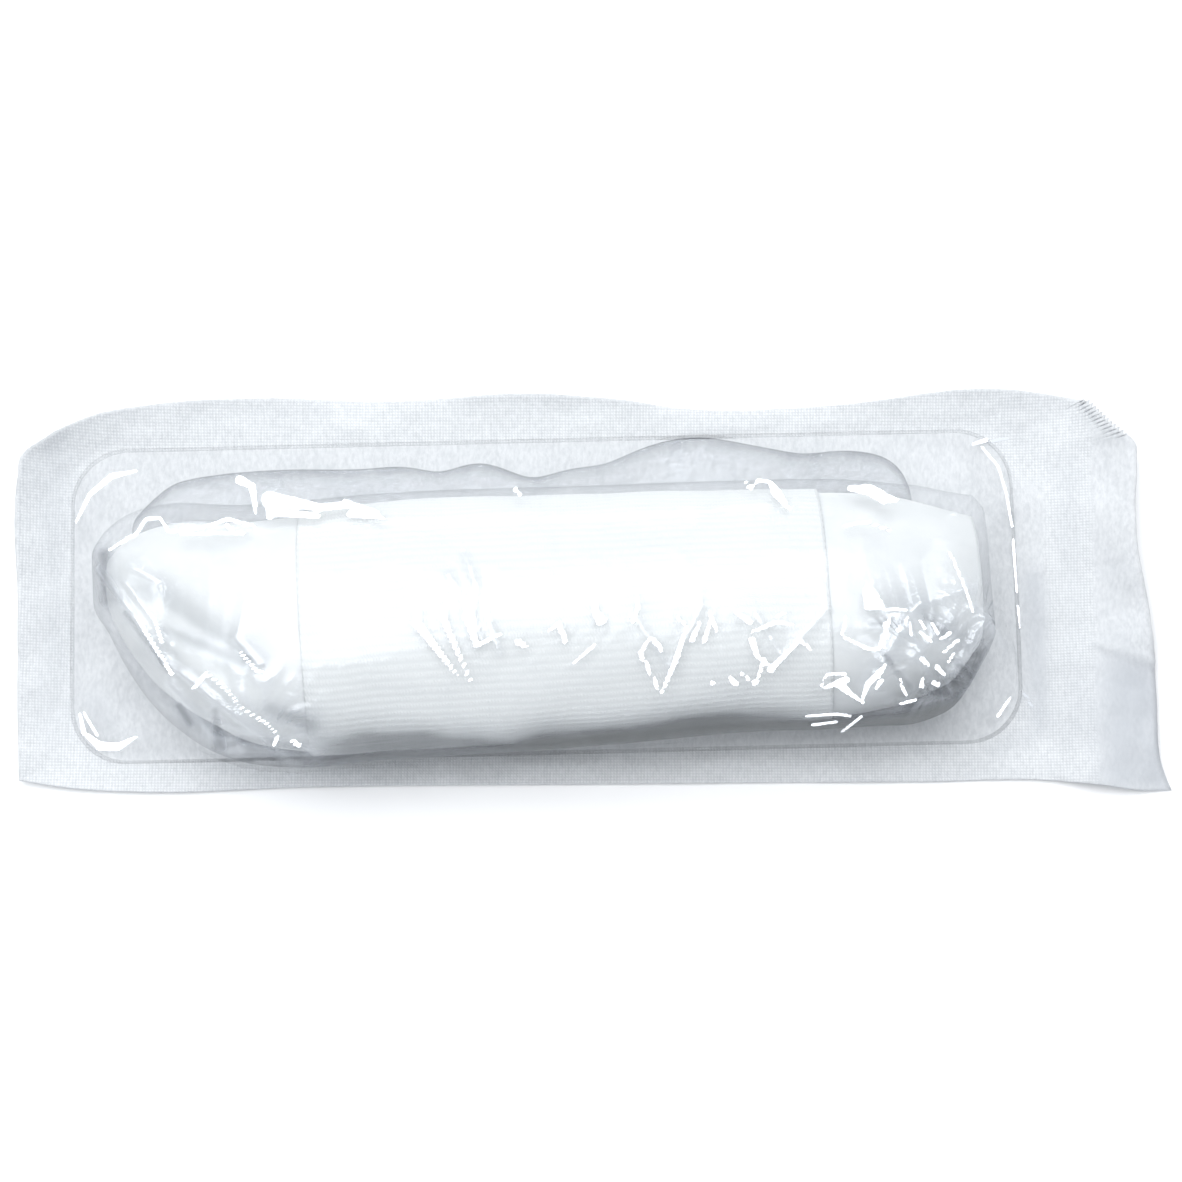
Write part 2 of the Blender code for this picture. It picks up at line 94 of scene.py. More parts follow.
def read_table(table: Table, at: Array) -> Array:
    """Columns of a table, after its first, on a smooth curve through its rows.

    Between two rows the curve is a cubic whose slopes at the rows are those of their neighbours.

    Args:
        table: rows whose first column rises.
        at: places in the first column.

    Returns:
        One row of values for each further column.
    """
    rows = np.array(table, float)
    keys, values = rows[:, 0], rows[:, 1:]
    at = np.clip(at, keys[0], keys[-1])
    slopes = np.gradient(values, keys, axis=0)
    low = np.clip(np.searchsorted(keys, at, side="right") - 1, 0, len(keys) - 2)
    span = (keys[low + 1] - keys[low])[:, None]
    t = (at - keys[low])[:, None] / span
    start, end = values[low], values[low + 1]
    smooth = t * t * (3 - 2 * t)
    bend_in = t * (1 - t) ** 2 * span * slopes[low]
    bend_out = t * t * (t - 1) * span * slopes[low + 1]
    return (start + (end - start) * smooth + bend_in + bend_out).T


def ease(value: Array) -> Array:
    """0 below 0, 1 above 1, and a smooth step between."""
    t = np.clip(value, 0, 1)
    return t * t * (3 - 2 * t)


def noise(u: Array, v: Array, seed: Seed) -> Array:
    """Gradient noise of two coordinates, about -1 to 1, one cell to each unit.

    Each lattice point has a random unit slope. The value is the smooth blend of the four slopes' planes.

    Args:
        u: first coordinate.
        v: second coordinate.
        seed: which field.

    Returns:
        The noise at each place.
    """
    size = 128
    angles = np.random.default_rng(seed.value).uniform(0, 2 * math.pi, (size, size))
    left, low = np.floor(u).astype(int), np.floor(v).astype(int)
    du, dv = u - left, v - low
    blend_u, blend_v = ease(du), ease(dv)

    def plane(i: int, j: int) -> Array:
        """Height of one lattice point's sloping plane."""
        angle = angles[(left + i) % size, (low + j) % size]
        return np.cos(angle) * (du - i) + np.sin(angle) * (dv - j)

    near = plane(0, 0) * (1 - blend_u) + plane(1, 0) * blend_u
    far = plane(0, 1) * (1 - blend_u) + plane(1, 1) * blend_u
    return 1.6 * (near * (1 - blend_v) + far * blend_v)


def creases(u: Array, v: Array, seed: Seed, octaves: int = 3) -> Array:
    """Sharp ridges between soft hollows, 0 to about 1.

    Each is one minus the size of a noise, on coordinates that another noise bends.

    Args:
        u: first coordinate, one crease or so to each unit.
        v: second coordinate.
        seed: which field.
        octaves: how many finer copies are added, each half as strong.

    Returns:
        The height at each place.
    """
    warp_u = u + 0.8 * noise(u * 0.7 + 5.1, v * 0.7, Seed.WARP)
    warp_v = v + 0.8 * noise(u * 0.7, v * 0.7 + 9.7, Seed.WARP)
    total, strength, height = 0.0, 1.0, np.zeros_like(u)
    for octave in range(octaves):
        scale = 2.0**octave
        ridge = 1 - np.abs(noise(warp_u * scale + 7 * octave, warp_v * scale, seed))
        height = height + strength * ridge**2
        total += strength
        strength *= 0.5
    return height / total


def fold_lines(x: Array, y: Array, table: Table) -> Array:
    """Sum of straight folds and dents: each falls off as a bell across its line and beyond its ends.

    Args:
        x: places along the pack, in metres.
        y: places across the pack, in metres.
        table: rows of the line's start x, start y, end x and end y, its half width and its height, in
            millimetres.

    Returns:
        The height at each place, in metres.
    """
    height = np.zeros_like(x)
    for x0, y0, x1, y1, wide, high in np.array(table, float) * MM:
        run_x, run_y = x1 - x0, y1 - y0
        t = np.clip(((x - x0) * run_x + (y - y0) * run_y) / (run_x**2 + run_y**2), 0, 1)
        away = (x - x0 - t * run_x) ** 2 + (y - y0 - t * run_y) ** 2
        height = height + high * np.exp(-away / wide**2)
    return height


def as_seen(points: Array) -> tuple[Array, Array]:
    """Where points appear in the photograph, in metres to the right and up on the pack's plane."""
    back, down = math.cos(VIEW_ELEVATION), math.sin(VIEW_ELEVATION)
    y, z = points[..., 1] + VIEW_DISTANCE * back, points[..., 2] - VIEW_DISTANCE * down
    depth = y * back - z * down
    return points[..., 0] * VIEW_DISTANCE / depth, (y * down + z * back) * VIEW_DISTANCE / depth


def streaks(u: Array, v: Array, table: Table) -> Array:
    """1 on narrow wedges, falling off as a bell across them and beyond their ends.

    Args:
        u: places to the right, in metres.
        v: places up, in metres.
        table: rows of a wedge's start u, start v, end u and end v, and its half width at both, in millimetres.
            None is drawn narrower than the finest streak.

    Returns:
        The strongest wedge's value at each place.
    """
    found = np.zeros_like(u)
    for u0, v0, u1, v1, wide0, wide1 in np.array(table, float) * MM:
        run_u, run_v = u1 - u0, v1 - v0
        t = np.clip(((u - u0) * run_u + (v - v0) * run_v) / (run_u**2 + run_v**2), 0, 1)
        away = (u - u0 - t * run_u) ** 2 + (v - v0 - t * run_v) ** 2
        wide = np.maximum(wide0 + (wide1 - wide0) * t, FINEST_STREAK)
        found = np.maximum(found, np.exp(-0.7 * away / wide**2))
    return found


def pleats(x: Array, y: Array, centre: tuple[float, float], count: float, size: float, seed: Seed) -> Array:
    """Folds that run out from a gathered spot: sharp ridges of noise on the angle round it and the way out.

    Args:
        x: places along the pack, in metres.
        y: places across the pack, in metres.
        centre: the gathered spot, in millimetres.
        count: how many folds there would be all the way round.
        size: how far the folds reach, in metres.
        seed: which field.

    Returns:
        The height at each place, 0 to 1.
    """
    away_x, away_y = x - centre[0] * MM, y - centre[1] * MM
    away = np.hypot(away_x, away_y)
    angle = np.arctan2(away_x, away_y) / (2 * math.pi)
    bend_cell, fold_cell, flat_middle, fade = 7 * MM, 11 * MM, 5 * MM, 0.6
    warp = 0.9 * noise(x / bend_cell, y / bend_cell, Seed.WARP)
    ridge = (1 - np.abs(noise(angle * count + warp, away / fold_cell + 0.5 * warp, seed))) ** 3
    return ridge * ease(away / flat_middle) * ease((size - away) / (fade * size))


def smoothed(rings: Array, times: int) -> Array:
    """Rings with each point drawn to the mean of its neighbours round the loop, a number of times."""
    for _ in range(times):
        rings = 0.5 * rings + 0.25 * (np.roll(rings, 1, axis=1) + np.roll(rings, -1, axis=1))
    return rings


def turned(points: Array, angle: float, centre: tuple[float, float]) -> Array:
    """Plane points turned about the origin and moved to a centre."""
    cos, sin = math.cos(angle), math.sin(angle)
    return points @ np.array([[cos, sin], [-sin, cos]]) + np.array(centre)


# The forms that several pieces share


@dataclass(frozen=True)
class Pack:
    """Sizes and outline of the sealed pack, in metres and shares, as in the CAD part."""

    end_room_left: float = 10.3 * MM
    end_room_right: float = 9.5 * MM
    side_room: float = 15.7 * MM
    seal_left: float = 11.4 * MM
    seal_right: float = 15.4 * MM
    seal_front: float = 8.6 * MM
    seal_back: float = 10.6 * MM
    tab_length: float = 14.6 * MM
    edge_lift: float = 6.0 * MM
    cavity_corner: float = 11.0 * MM
    cavity_turn: float = math.radians(1.4)
    roll_to_front: float = 8.0 * MM
    pad_length: float = 168.0 * MM
    roll_width: float = 46.8 * MM
    # Edges, seen from above: along, inset, lift
    front_edge: Table = (
        (0.006, 0.026, 0.35), (0.048, 0.009, 0.20), (0.114, 0.000, 0.10), (0.248, 0.012, 0.05),
        (0.502, 0.020, 0.10), (0.776, 0.026, 0.02), (0.914, 0.025, 0.02), (0.937, 0.016, 0.10),
        (0.970, 0.004, 0.20), (1.000, 0.006, 0.30),
    )
    right_edge: Table = (
        (0.006, 0.000, 0.30), (0.080, 0.029, 0.45), (0.211, 0.034, 0.60), (0.332, 0.039, 0.55),
        (0.444, 0.051, 0.80), (0.584, 0.079, 1.15), (0.700, 0.084, 1.30), (0.801, 0.078, 1.30),
        (0.853, 0.084, 1.25), (0.885, 0.122, 1.20), (0.959, 0.195, 1.10),
    )
    back_edge: Table = (
        (0.030, 0.122, 1.00), (0.065, 0.075, 0.80), (0.112, 0.048, 0.60), (0.198, 0.027, 0.35),
        (0.315, 0.033, 0.15), (0.462, 0.018, 0.50), (0.529, 0.031, 0.30), (0.578, 0.049, 0.05),
        (0.693, 0.045, 0.10), (0.759, 0.028, 0.30), (0.809, 0.010, 0.45), (0.848, 0.006, 0.55),
        (0.881, 0.015, 0.65), (0.930, 0.041, 0.90),
    )
    left_edge: Table = (
        (0.026, 0.017, 0.35), (0.238, 0.008, 0.40), (0.448, 0.004, 0.50), (0.769, 0.000, 0.90),
        (0.826, 0.012, 1.00), (0.878, 0.085, 1.00),
    )
    long_steps: int = 264
    short_steps: int = 72
    tooth_steps: int = 64
    # where the right side's finer steps and its teeth start
    fine_from: float = 0.87
    tooth_from: float = 0.90
    tooth: float = 0.42 * MM

    @property
    def cavity_length(self) -> float:
        """Length of the formed cavity."""
        return self.end_room_left + self.pad_length + self.end_room_right

    @property
    def cavity_width(self) -> float:
        """Width of the formed cavity."""
        return self.roll_width + self.side_room

    @property
    def length(self) -> float:
        """Length of the pack with its tab."""
        return self.seal_left + self.cavity_length + self.seal_right + self.tab_length

    @property
    def width(self) -> float:
        """Width of the pack."""
        return self.seal_front + self.cavity_width + self.seal_back

    @property
    def cavity_centre(self) -> tuple[float, float]:
        """Middle of the cavity, seen from above."""
        x = -self.length / 2 + self.seal_left + self.cavity_length / 2
        return x, -self.width / 2 + self.seal_front + self.cavity_width / 2

    @property
    def roll_centre(self) -> tuple[float, float]:
        """Middle of the roll, seen from above."""
        x, y = self.cavity_centre
        return x + (self.end_room_left - self.end_room_right) / 2, y - self.roll_to_front

    def shares(self, count: int) -> Array:
        """Shares from 0 up to 1, without 1, a little closer together near both corners."""
        t = np.arange(count) / count
        return 0.45 * t + 0.55 * (1 - np.cos(math.pi * t)) / 2

    def right_shares(self) -> Array:
        """The right side's shares, close together at its back end, where the cut edge is toothed."""
        plain = self.fine_from * np.arange(self.short_steps) / self.short_steps
        toothed = self.fine_from + (1 - self.fine_from) * np.arange(self.tooth_steps) / self.tooth_steps
        return np.concatenate([plain, toothed])

    def left_shares(self) -> Array:
        """The left side's shares, with as many points as the right side so that loops close in strips."""
        return self.shares(self.short_steps + self.tooth_steps)

    @property
    def side_count(self) -> int:
        """Points on a short side."""
        return self.short_steps + self.tooth_steps

    @property
    def loop(self) -> int:
        """Points in one loop round the pack."""
        return 2 * (self.long_steps + self.side_count)

    def edge_loop(self) -> Array:
        """(x, y, lift) of the cut edge: each side's table read at its shares."""
        long = self.shares(self.long_steps)
        half_length, half_width = self.length / 2, self.width / 2

        def side(table: Table, shares: Array, back: bool) -> tuple[Array, Array, Array]:
            """Place along a side, inset and lift at shares of the way along it."""
            first, last = table[0][0], table[-1][0]
            along = last - (last - first) * shares if back else first + (last - first) * shares
            inset, lift = read_table(table, along)
            return along, inset * self.width, np.maximum(lift, 0) * self.edge_lift

        along, inset, lift = side(self.front_edge, long, False)
        front = np.stack([along * self.length - half_length, inset - half_width, lift], 1)
        along, inset, lift = side(self.right_edge, self.right_shares(), False)
        right = np.stack([half_length - inset, along * self.width - half_width, lift], 1)
        along, inset, lift = side(self.back_edge, long, True)
        back = np.stack([along * self.length - half_length, half_width - inset, lift], 1)
        along, inset, lift = side(self.left_edge, self.left_shares(), True)
        left = np.stack([inset - half_length, along * self.width - half_width, lift], 1)
        loop = np.concatenate([front, right, back, left])
        loop[:, :2] -= (loop[:, :2].min(0) + loop[:, :2].max(0)) / 2
        return loop

    def teeth(self) -> Array:
        """How far the pinked corner's teeth stand out: a zigzag on the right side's back end."""
        shares = self.right_shares()
        zigzag = np.array([0, 1, 0, -1])[np.arange(len(shares)) % 4]
        tooth = self.tooth * ease((shares - self.tooth_from) / 0.01) * zigzag
        return np.concatenate([np.zeros(self.long_steps), tooth, np.zeros(self.long_steps + self.side_count)])

    def cavity_loop(self) -> Array:
        """(x, y) of the line where the formed film leaves the flange: a turned rounded rectangle."""
        half_length, half_width, corner = self.cavity_length / 2, self.cavity_width / 2, self.cavity_corner

        def side(shares: Array, half_along: float, half_out: float) -> tuple[Array, Array]:
            """(along, out) of one side, from the middle of one corner's arc to that of the next."""
            straight, arc = 2 * (half_along - corner), corner * math.pi / 4
            way = shares * (straight + 2 * arc)
            first = np.minimum(way, arc) / corner + math.pi / 4
            last = np.maximum(way - arc - straight, 0) / corner
            turning_in, turning_out = way < arc, way > arc + straight
            along = np.clip(way - arc, 0, straight) - straight / 2
            along = along - np.where(turning_in, corner * np.cos(first), 0) + corner * np.sin(last)
            height = np.where(turning_in, np.sin(first), np.where(turning_out, np.cos(last), 1.0))
            return along, half_out - corner + corner * height

        along, out = side(self.shares(self.long_steps), half_length, half_width)
        front, back = np.stack([along, -out], 1), np.stack([-along, out], 1)
        along, out = side(self.right_shares(), half_width, half_length)
        right = np.stack([out, along], 1)
        along, out = side(self.left_shares(), half_width, half_length)
        left = np.stack([-out, -along], 1)
        return turned(np.concatenate([front, right, back, left]), self.cavity_turn, self.cavity_centre)

    def ring_faces(self, count: int) -> list[tuple[int, ...]]:
        """Faces of a surface of rings, whose last ring is closed by a strip along its two long sides.

        Args:
            count: how many rings there are.

        Returns:
            Faces as point numbers.
        """
        loop, long, side = self.loop, self.long_steps, self.side_count
        around = np.arange(loop)
        after = (around + 1) % loop
        low = np.arange(count - 1)[:, None] * loop
        quads = np.stack([low + around, low + after, low + loop + after, low + loop + around], 2)
        last, back_end = (count - 1) * loop, 2 * long + side
        step = np.arange(long)
        lid = np.stack([step, step + 1, back_end - step - 1, back_end - step], 1) + last
        right_cap = tuple(last + i for i in range(long, long + side + 1))
        left_cap = tuple(last + i % loop for i in range(back_end, loop + 1))
        return [tuple(q) for q in np.concatenate([quads.reshape(-1, 4), lid]).tolist()] + [right_cap, left_cap]


@dataclass(frozen=True)
class Roll:
    """The wound roll's form: an oval section that changes along its length, lying a little turned."""

    pack: Pack
    height: float = 37.0 * MM
    turn: float = math.radians(3.6)
    end_sag: float = 0.45
    underside: float = 3.35 * MM
    # along, width, height, shift
    sections: Table = (
        (0.000, 0.24, 0.46, 0.240), (0.017, 0.43, 0.58, 0.205), (0.040, 0.60, 0.70, 0.160),
        (0.075, 0.75, 0.82, 0.110), (0.115, 0.86, 0.91, 0.060), (0.213, 0.98, 1.00, 0.000),
        (0.308, 1.00, 1.00, 0.004), (0.554, 0.98, 1.00, -0.005), (0.720, 0.94, 0.99, -0.002),
        (0.869, 0.90, 0.95, -0.018), (0.933, 0.81, 0.85, -0.015), (0.972, 0.70, 0.74, 0.000),
        (1.000, 0.54, 0.60, 0.050),
    )

    def section(self, share: Array) -> tuple[Array, Array, Array, Array]:
        """Half width, half height, sideways shift and centre height at shares of the length."""
        width, height, shift = read_table(self.sections, share)
        half, full = height * self.height / 2, self.height / 2
        centre = self.underside + full - self.end_sag * (full - half)
        return width * self.pack.roll_width / 2, half, shift * self.pack.roll_width, centre

    def place(self, share: Array, sideways: Array) -> Array:
        """(x, y) at shares of the length and a distance to the back of the roll's axis."""
        local = np.stack([(share - 0.5) * self.pack.pad_length, sideways], -1)
        return turned(local, self.turn, self.pack.roll_centre)

    def share_of(self, flat: Array) -> Array:
        """Share of the roll's length at places seen from above."""
        back = turned(flat - np.array(self.pack.roll_centre), -self.turn, (0, 0))
        return 0.5 + back[..., 0] / self.pack.pad_length


@dataclass
class WrapForm:
    """The wrapped roll as upright profiles, one for each point of the cavity's loop."""

    pack: Pack
    roll: Roll
    room: float = 2.35 * MM
    slack: float = 3.5 * MM
    end_left: float = 2.4 * MM
    end_right: float = 2.0 * MM
    bluntness: float = 0.45
    skirt_reach: float = 13.0 * MM
    skirt_root: float = 2.5 * MM
    skirt_angle: float = math.radians(-38)
    skirt_spread: float = math.radians(9)
    skirt_clearance: float = 1.6 * MM
    spine_margin: float = 0.09
    # along, front, back, skirt
    outline: Table = (
        (0.000, 0.4, 0.5, 0.00), (0.050, 0.7, 0.4, 0.45), (0.093, 0.8, 0.3, 0.80), (0.140, 0.6, 0.0, 0.95),
        (0.214, 0.2, 0.0, 0.90), (0.295, 0.0, 0.0, 0.71), (0.369, 0.0, 0.0, 0.61), (0.387, 0.0, 0.0, 0.51),
        (0.402, 0.0, 0.0, 0.56), (0.436, 0.0, 0.0, 0.66), (0.464, 0.0, 0.0, 0.54), (0.492, 0.0, 0.0, 0.36),
        (0.515, 0.0, 0.0, 0.43), (0.541, 0.0, 0.0, 0.52), (0.575, 0.0, 0.0, 0.55), (0.611, 0.0, 0.0, 0.77),
        (0.643, 0.0, 0.0, 0.92), (0.679, 0.0, 0.0, 0.98), (0.724, 0.0, 0.0, 0.90), (0.760, 0.0, 0.0, 0.82),
        (0.801, 0.0, 0.0, 0.75), (0.834, 0.0, 0.0, 0.85), (0.866, 0.1, 0.0, 0.88), (0.892, 0.3, 0.0, 0.82),
        (0.911, 0.5, 0.0, 0.65), (0.937, 0.6, 0.1, 0.20), (0.960, 0.6, 0.1, 0.00), (1.000, 0.3, 0.2, 0.00),
    )
    spine: Array = field(init=False)
    direction: Array = field(init=False)
    rim_reach: Array = field(init=False)
    reach: Array = field(init=False)
    skirt: Array = field(init=False)
    half_height: Array = field(init=False)
    centre: Array = field(init=False)
    squareness: Array = field(init=False)

    def __post_init__(self) -> None:
        """Works out each profile's foot, direction and reach from the cavity's loop."""
        pack, roll = self.pack, self.roll
        first, last = self.spine_margin, 1 - self.spine_margin
        long = first + (last - first) * pack.shares(pack.long_steps)
        side = pack.side_count
        share = np.concatenate([long, np.full(side, last), first + last - long, np.full(side, first)])
        _, half_height, shift, self.centre = roll.section(share)
        self.spine = roll.place(share, shift)
        toward = pack.cavity_loop() - self.spine
        self.rim_reach = np.linalg.norm(toward, axis=1)
        self.direction = toward / self.rim_reach[:, None]
        self.reach = self._reach_to(self._outline())
        self.half_height = half_height + self.room
        on_back = np.clip(self.direction[:, 1], 0, 1) ** 2
        end = self.spine + self.direction * self.reach[:, None]
        skirt = read_table(self.outline, np.clip(roll.share_of(end), 0, 1))[2] * self.skirt_reach * on_back
        self.skirt = np.clip(skirt, 0, np.maximum(self.rim_reach - self.reach - self.skirt_clearance, 0))
        self.squareness = 1 - self.bluntness * np.clip(np.abs(self.direction[:, 0]) * 1.6 - 0.3, 0, 1)

    def _outline(self) -> Array:
        """(x, y) polygon of the wrapped roll's widest line, seen from above."""
        share = np.linspace(0, 1, 121)
        half, _, shift, _ = self.roll.section(share)
        front, back, _ = read_table(self.outline, share)
        front_line = self.roll.place(share, shift - half - self.room - front * self.slack)
        back_line = self.roll.place(share, shift + half + self.room + back * self.slack)
        tips = []
        for end, room in ((1.0, self.end_right), (0.0, self.end_left)):
            half_end, _, shift_end, _ = self.roll.section(np.array([end]))
            beyond = np.array([end + (room if end else -room) / self.pack.pad_length])
            sides = (-1, 1) if end else (1, -1)
            tips.append(np.concatenate([self.roll.place(beyond, shift_end + s * half_end) for s in sides]))
        return np.concatenate([front_line, tips[0], back_line[::-1], tips[1]])

    def _reach_to(self, outline: Array) -> Array:
        """Distance from each profile's foot, along its direction, to the far crossing of a closed outline."""
        edge = np.roll(outline, -1, axis=0) - outline
        offset = outline[None] - self.spine[:, None]
        ray = self.direction[:, None]
        cross = ray[..., 0] * edge[None, :, 1] - ray[..., 1] * edge[None, :, 0]
        cross = np.where(np.abs(cross) < TINY, TINY, cross)
        way = (offset[..., 0] * edge[None, :, 1] - offset[..., 1] * edge[None, :, 0]) / cross
        place = (offset[..., 0] * ray[..., 1] - offset[..., 1] * ray[..., 0]) / cross
        return np.where((place >= 0) & (place <= 1) & (way > 0), way, 0).max(1)

    def lobe(self, angles: Array) -> Array:
        """1 where the wrap spreads furthest behind the roll, falling to 0 above and below as a bell."""
        return np.exp(-(((angles - self.skirt_angle) / self.skirt_spread) ** 2))

    def profile(self, angles: Array) -> tuple[Array, Array]:
        """(reach, height) at each angle above the roll's middle, for each loop point: a rounded-off oval."""
        cos, sin = np.cos(angles)[:, None], np.sin(angles)[:, None]
        out = np.abs(cos) ** self.squareness
        up = np.sign(sin) * np.abs(sin) ** self.squareness
        skirted = ease(self.skirt / self.skirt_root) * self.lobe(angles)[:, None]
        reach = self.reach * out + (self.reach * (1 - out) + self.skirt) * skirted
        return reach, self.centre + self.half_height * up

    def points(self, reach: Array, height: Array) -> Array:
        """Points at a reach from the spine and a height, as rings by loop points by x, y, z."""
        flat = self.spine[None] + self.direction[None] * reach[..., None]
        return np.concatenate([flat, height[..., None]], 2)


def ring_normals(rings: Array) -> Array:
    """Unit normals of a surface of rings: the cross product of its steps round and across the rings."""
    across = np.gradient(rings, axis=0)
    around = np.roll(rings, -1, axis=1) - np.roll(rings, 1, axis=1)
    normals = np.cross(around, across)
    return normals / np.maximum(np.linalg.norm(normals, axis=2, keepdims=True), TINY)


# Shader maths


class Value:
    """A shader socket that adds Math nodes when it is used in an expression."""

    def __init__(self, look: "Look", socket: bpy.types.NodeSocket) -> None:
        """Keeps the material's look and the socket."""
        self.look, self.socket = look, socket

    def math(self, operation: str, *others: "Value | float", clamp: bool = False) -> "Value":
        """One Math node on this value and others."""
        settings = {"operation": operation, "use_clamp": clamp}
        node = self.look.node("ShaderNodeMath", settings, {i: v for i, v in enumerate((self, *others))})
        return Value(self.look, node.outputs[0])

    def __add__(self, other: "Value | float") -> "Value":
        """Sum."""
        return self.math("ADD", other)

    __radd__ = __add__

    def __mul__(self, other: "Value | float") -> "Value":
        """Product."""
        return self.math("MULTIPLY", other)

    __rmul__ = __mul__

    def __sub__(self, other: "Value | float") -> "Value":
        """Difference."""
        return self.math("SUBTRACT", other)

    def __rsub__(self, other: float) -> "Value":
        """Difference from a number."""
        return (self * -1.0) + other

    def __truediv__(self, other: "Value | float") -> "Value":
        """Quotient."""
        return self.math("DIVIDE", other)

    def __pow__(self, other: "Value | float") -> "Value":
        """Power."""
        return self.math("POWER", other)

    def clamped(self) -> "Value":
        """The value held between 0 and 1."""
        return (self + 0.0).math("ADD", 0.0, clamp=True)

    def between(self, low: float, high: float) -> "Value":
        """0 below low, 1 above high, and a straight ramp between."""
        return ((self - low) / (high - low)).math("ADD", 0.0, clamp=True)


class Look:
    """A Principled material in the making."""

    def __init__(self, name: str) -> None:
        """Starts a material of a name, with its shader."""
        self.material = bpy.data.materials.new(name)
        self.material.use_nodes = True
        self.tree = self.material.node_tree
        self.shader = self.tree.nodes["Principled BSDF"]

    def node(self, kind: str, settings: dict, inputs: dict) -> bpy.types.Node:
        """Any node, with its settings set first and then its sockets' values or links.

        Args:
            kind: the node's type.
            settings: attributes of the node.
            inputs: values or links by socket name or number.

        Returns:
            The node.
        """
        made = self.tree.nodes.new(kind)
        for key, value in settings.items():
            if key == "stops":
                ramp = made.color_ramp
                while len(ramp.elements) < len(value):
                    ramp.elements.new(1.0)
                for element, (place, colour) in zip(ramp.elements, value):
                    element.position, element.color = place, colour
            else:
                setattr(made, key, value)
        for key, value in inputs.items():
            self.feed(made.inputs[key], value)
        return made

    def feed(self, socket: bpy.types.NodeSocket, value: object) -> None:
        """Links a value's socket, or sets a number, vector or colour."""
        if isinstance(value, Value):
            self.tree.links.new(value.socket, socket)
        elif isinstance(value, bpy.types.NodeSocket):
            self.tree.links.new(value, socket)
        else:
            socket.default_value = value

    def place(self) -> bpy.types.NodeSocket:
        """Object coordinates."""
        return self.node("ShaderNodeTexCoord", {}, {}).outputs["Object"]

    def attribute(self, name: str) -> Value:
        """A number kept on the mesh's points."""
        return Value(self, self.node("ShaderNodeAttribute", {"attribute_name": name}, {}).outputs["Fac"])

    def axis(self, vector: bpy.types.NodeSocket, index: int) -> Value:
        """One coordinate of a vector."""
        return Value(self, self.node("ShaderNodeSeparateXYZ", {}, {0: vector}).outputs[index])

    def grain(
        self, vector: bpy.types.NodeSocket, scale: float, detail: float = 2.0, rough: float = 0.5
    ) -> Value:
        """Noise from 0 to 1 with cells of one over the scale."""
        inputs = {"Vector": vector, "Scale": scale, "Detail": detail, "Roughness": rough}
        return Value(self, self.node("ShaderNodeTexNoise", {}, inputs).outputs[0])

    def stretched(
        self, vector: bpy.types.NodeSocket, scale: tuple, turn: float = 0.0
    ) -> bpy.types.NodeSocket:
        """A vector turned about Z and scaled along its axes."""
        inputs = {"Vector": vector, "Rotation": (0, 0, turn), "Scale": scale}
        return self.node("ShaderNodeMapping", {}, inputs).outputs[0]

    def mix(self, share: Value, first: tuple | bpy.types.NodeSocket, second: tuple) -> bpy.types.NodeSocket:
        """A colour from the first to the second as the share goes from 0 to 1."""
        start = first if isinstance(first, bpy.types.NodeSocket) else (*first, 1)
        inputs = {0: share, 6: start, 7: (*second, 1)}
        node = self.node("ShaderNodeMix", {"data_type": "RGBA"}, inputs)
        return node.outputs[2]

    def bump(self, height: Value, distance: float, strength: float = 1.0) -> None:
        """Relief from a height, in metres at full height, on the shader's normal."""
        inputs = {"Strength": strength, "Distance": distance, "Height": height}
        node = self.node("ShaderNodeBump", {}, inputs)
        self.tree.links.new(node.outputs[0], self.shader.inputs["Normal"])

    def flatten(self, share: Value) -> None:
        """Turns the shading normal to straight up by a share: small flats of the film that catch the lamp."""
        inputs = {0: share, 4: self.shader.inputs["Normal"].links[0].from_socket, 5: (0.0, 0.0, 1.0)}
        node = self.node("ShaderNodeMix", {"data_type": "VECTOR"}, inputs)
        self.tree.links.new(node.outputs[1], self.shader.inputs["Normal"])

    def facing(self, blend: float = 0.5) -> Value:
        """0 where the surface is seen square on, up to 1 at its outline."""
        node = self.node("ShaderNodeLayerWeight", {}, {"Blend": blend})
        return Value(self, node.outputs["Facing"])

    def from_above(self) -> Value:
        """1 where the piece is looked at from above, down to 0 at 30 degrees above the floor and lower."""
        up = self.node("ShaderNodeCombineXYZ", {}, {2: 1.0}).outputs[0]
        node = self.node("ShaderNodeLayerWeight", {}, {"Blend": 0.5, "Normal": up})
        return 1.0 - Value(self, node.outputs["Facing"]).between(0.12, 0.5)

    def set(self, **values: object) -> None:
        """Feeds the shader's sockets by name, with underscores for spaces."""
        for key, value in values.items():
            self.feed(self.shader.inputs[key.replace("_", " ")], value)


# Finishes


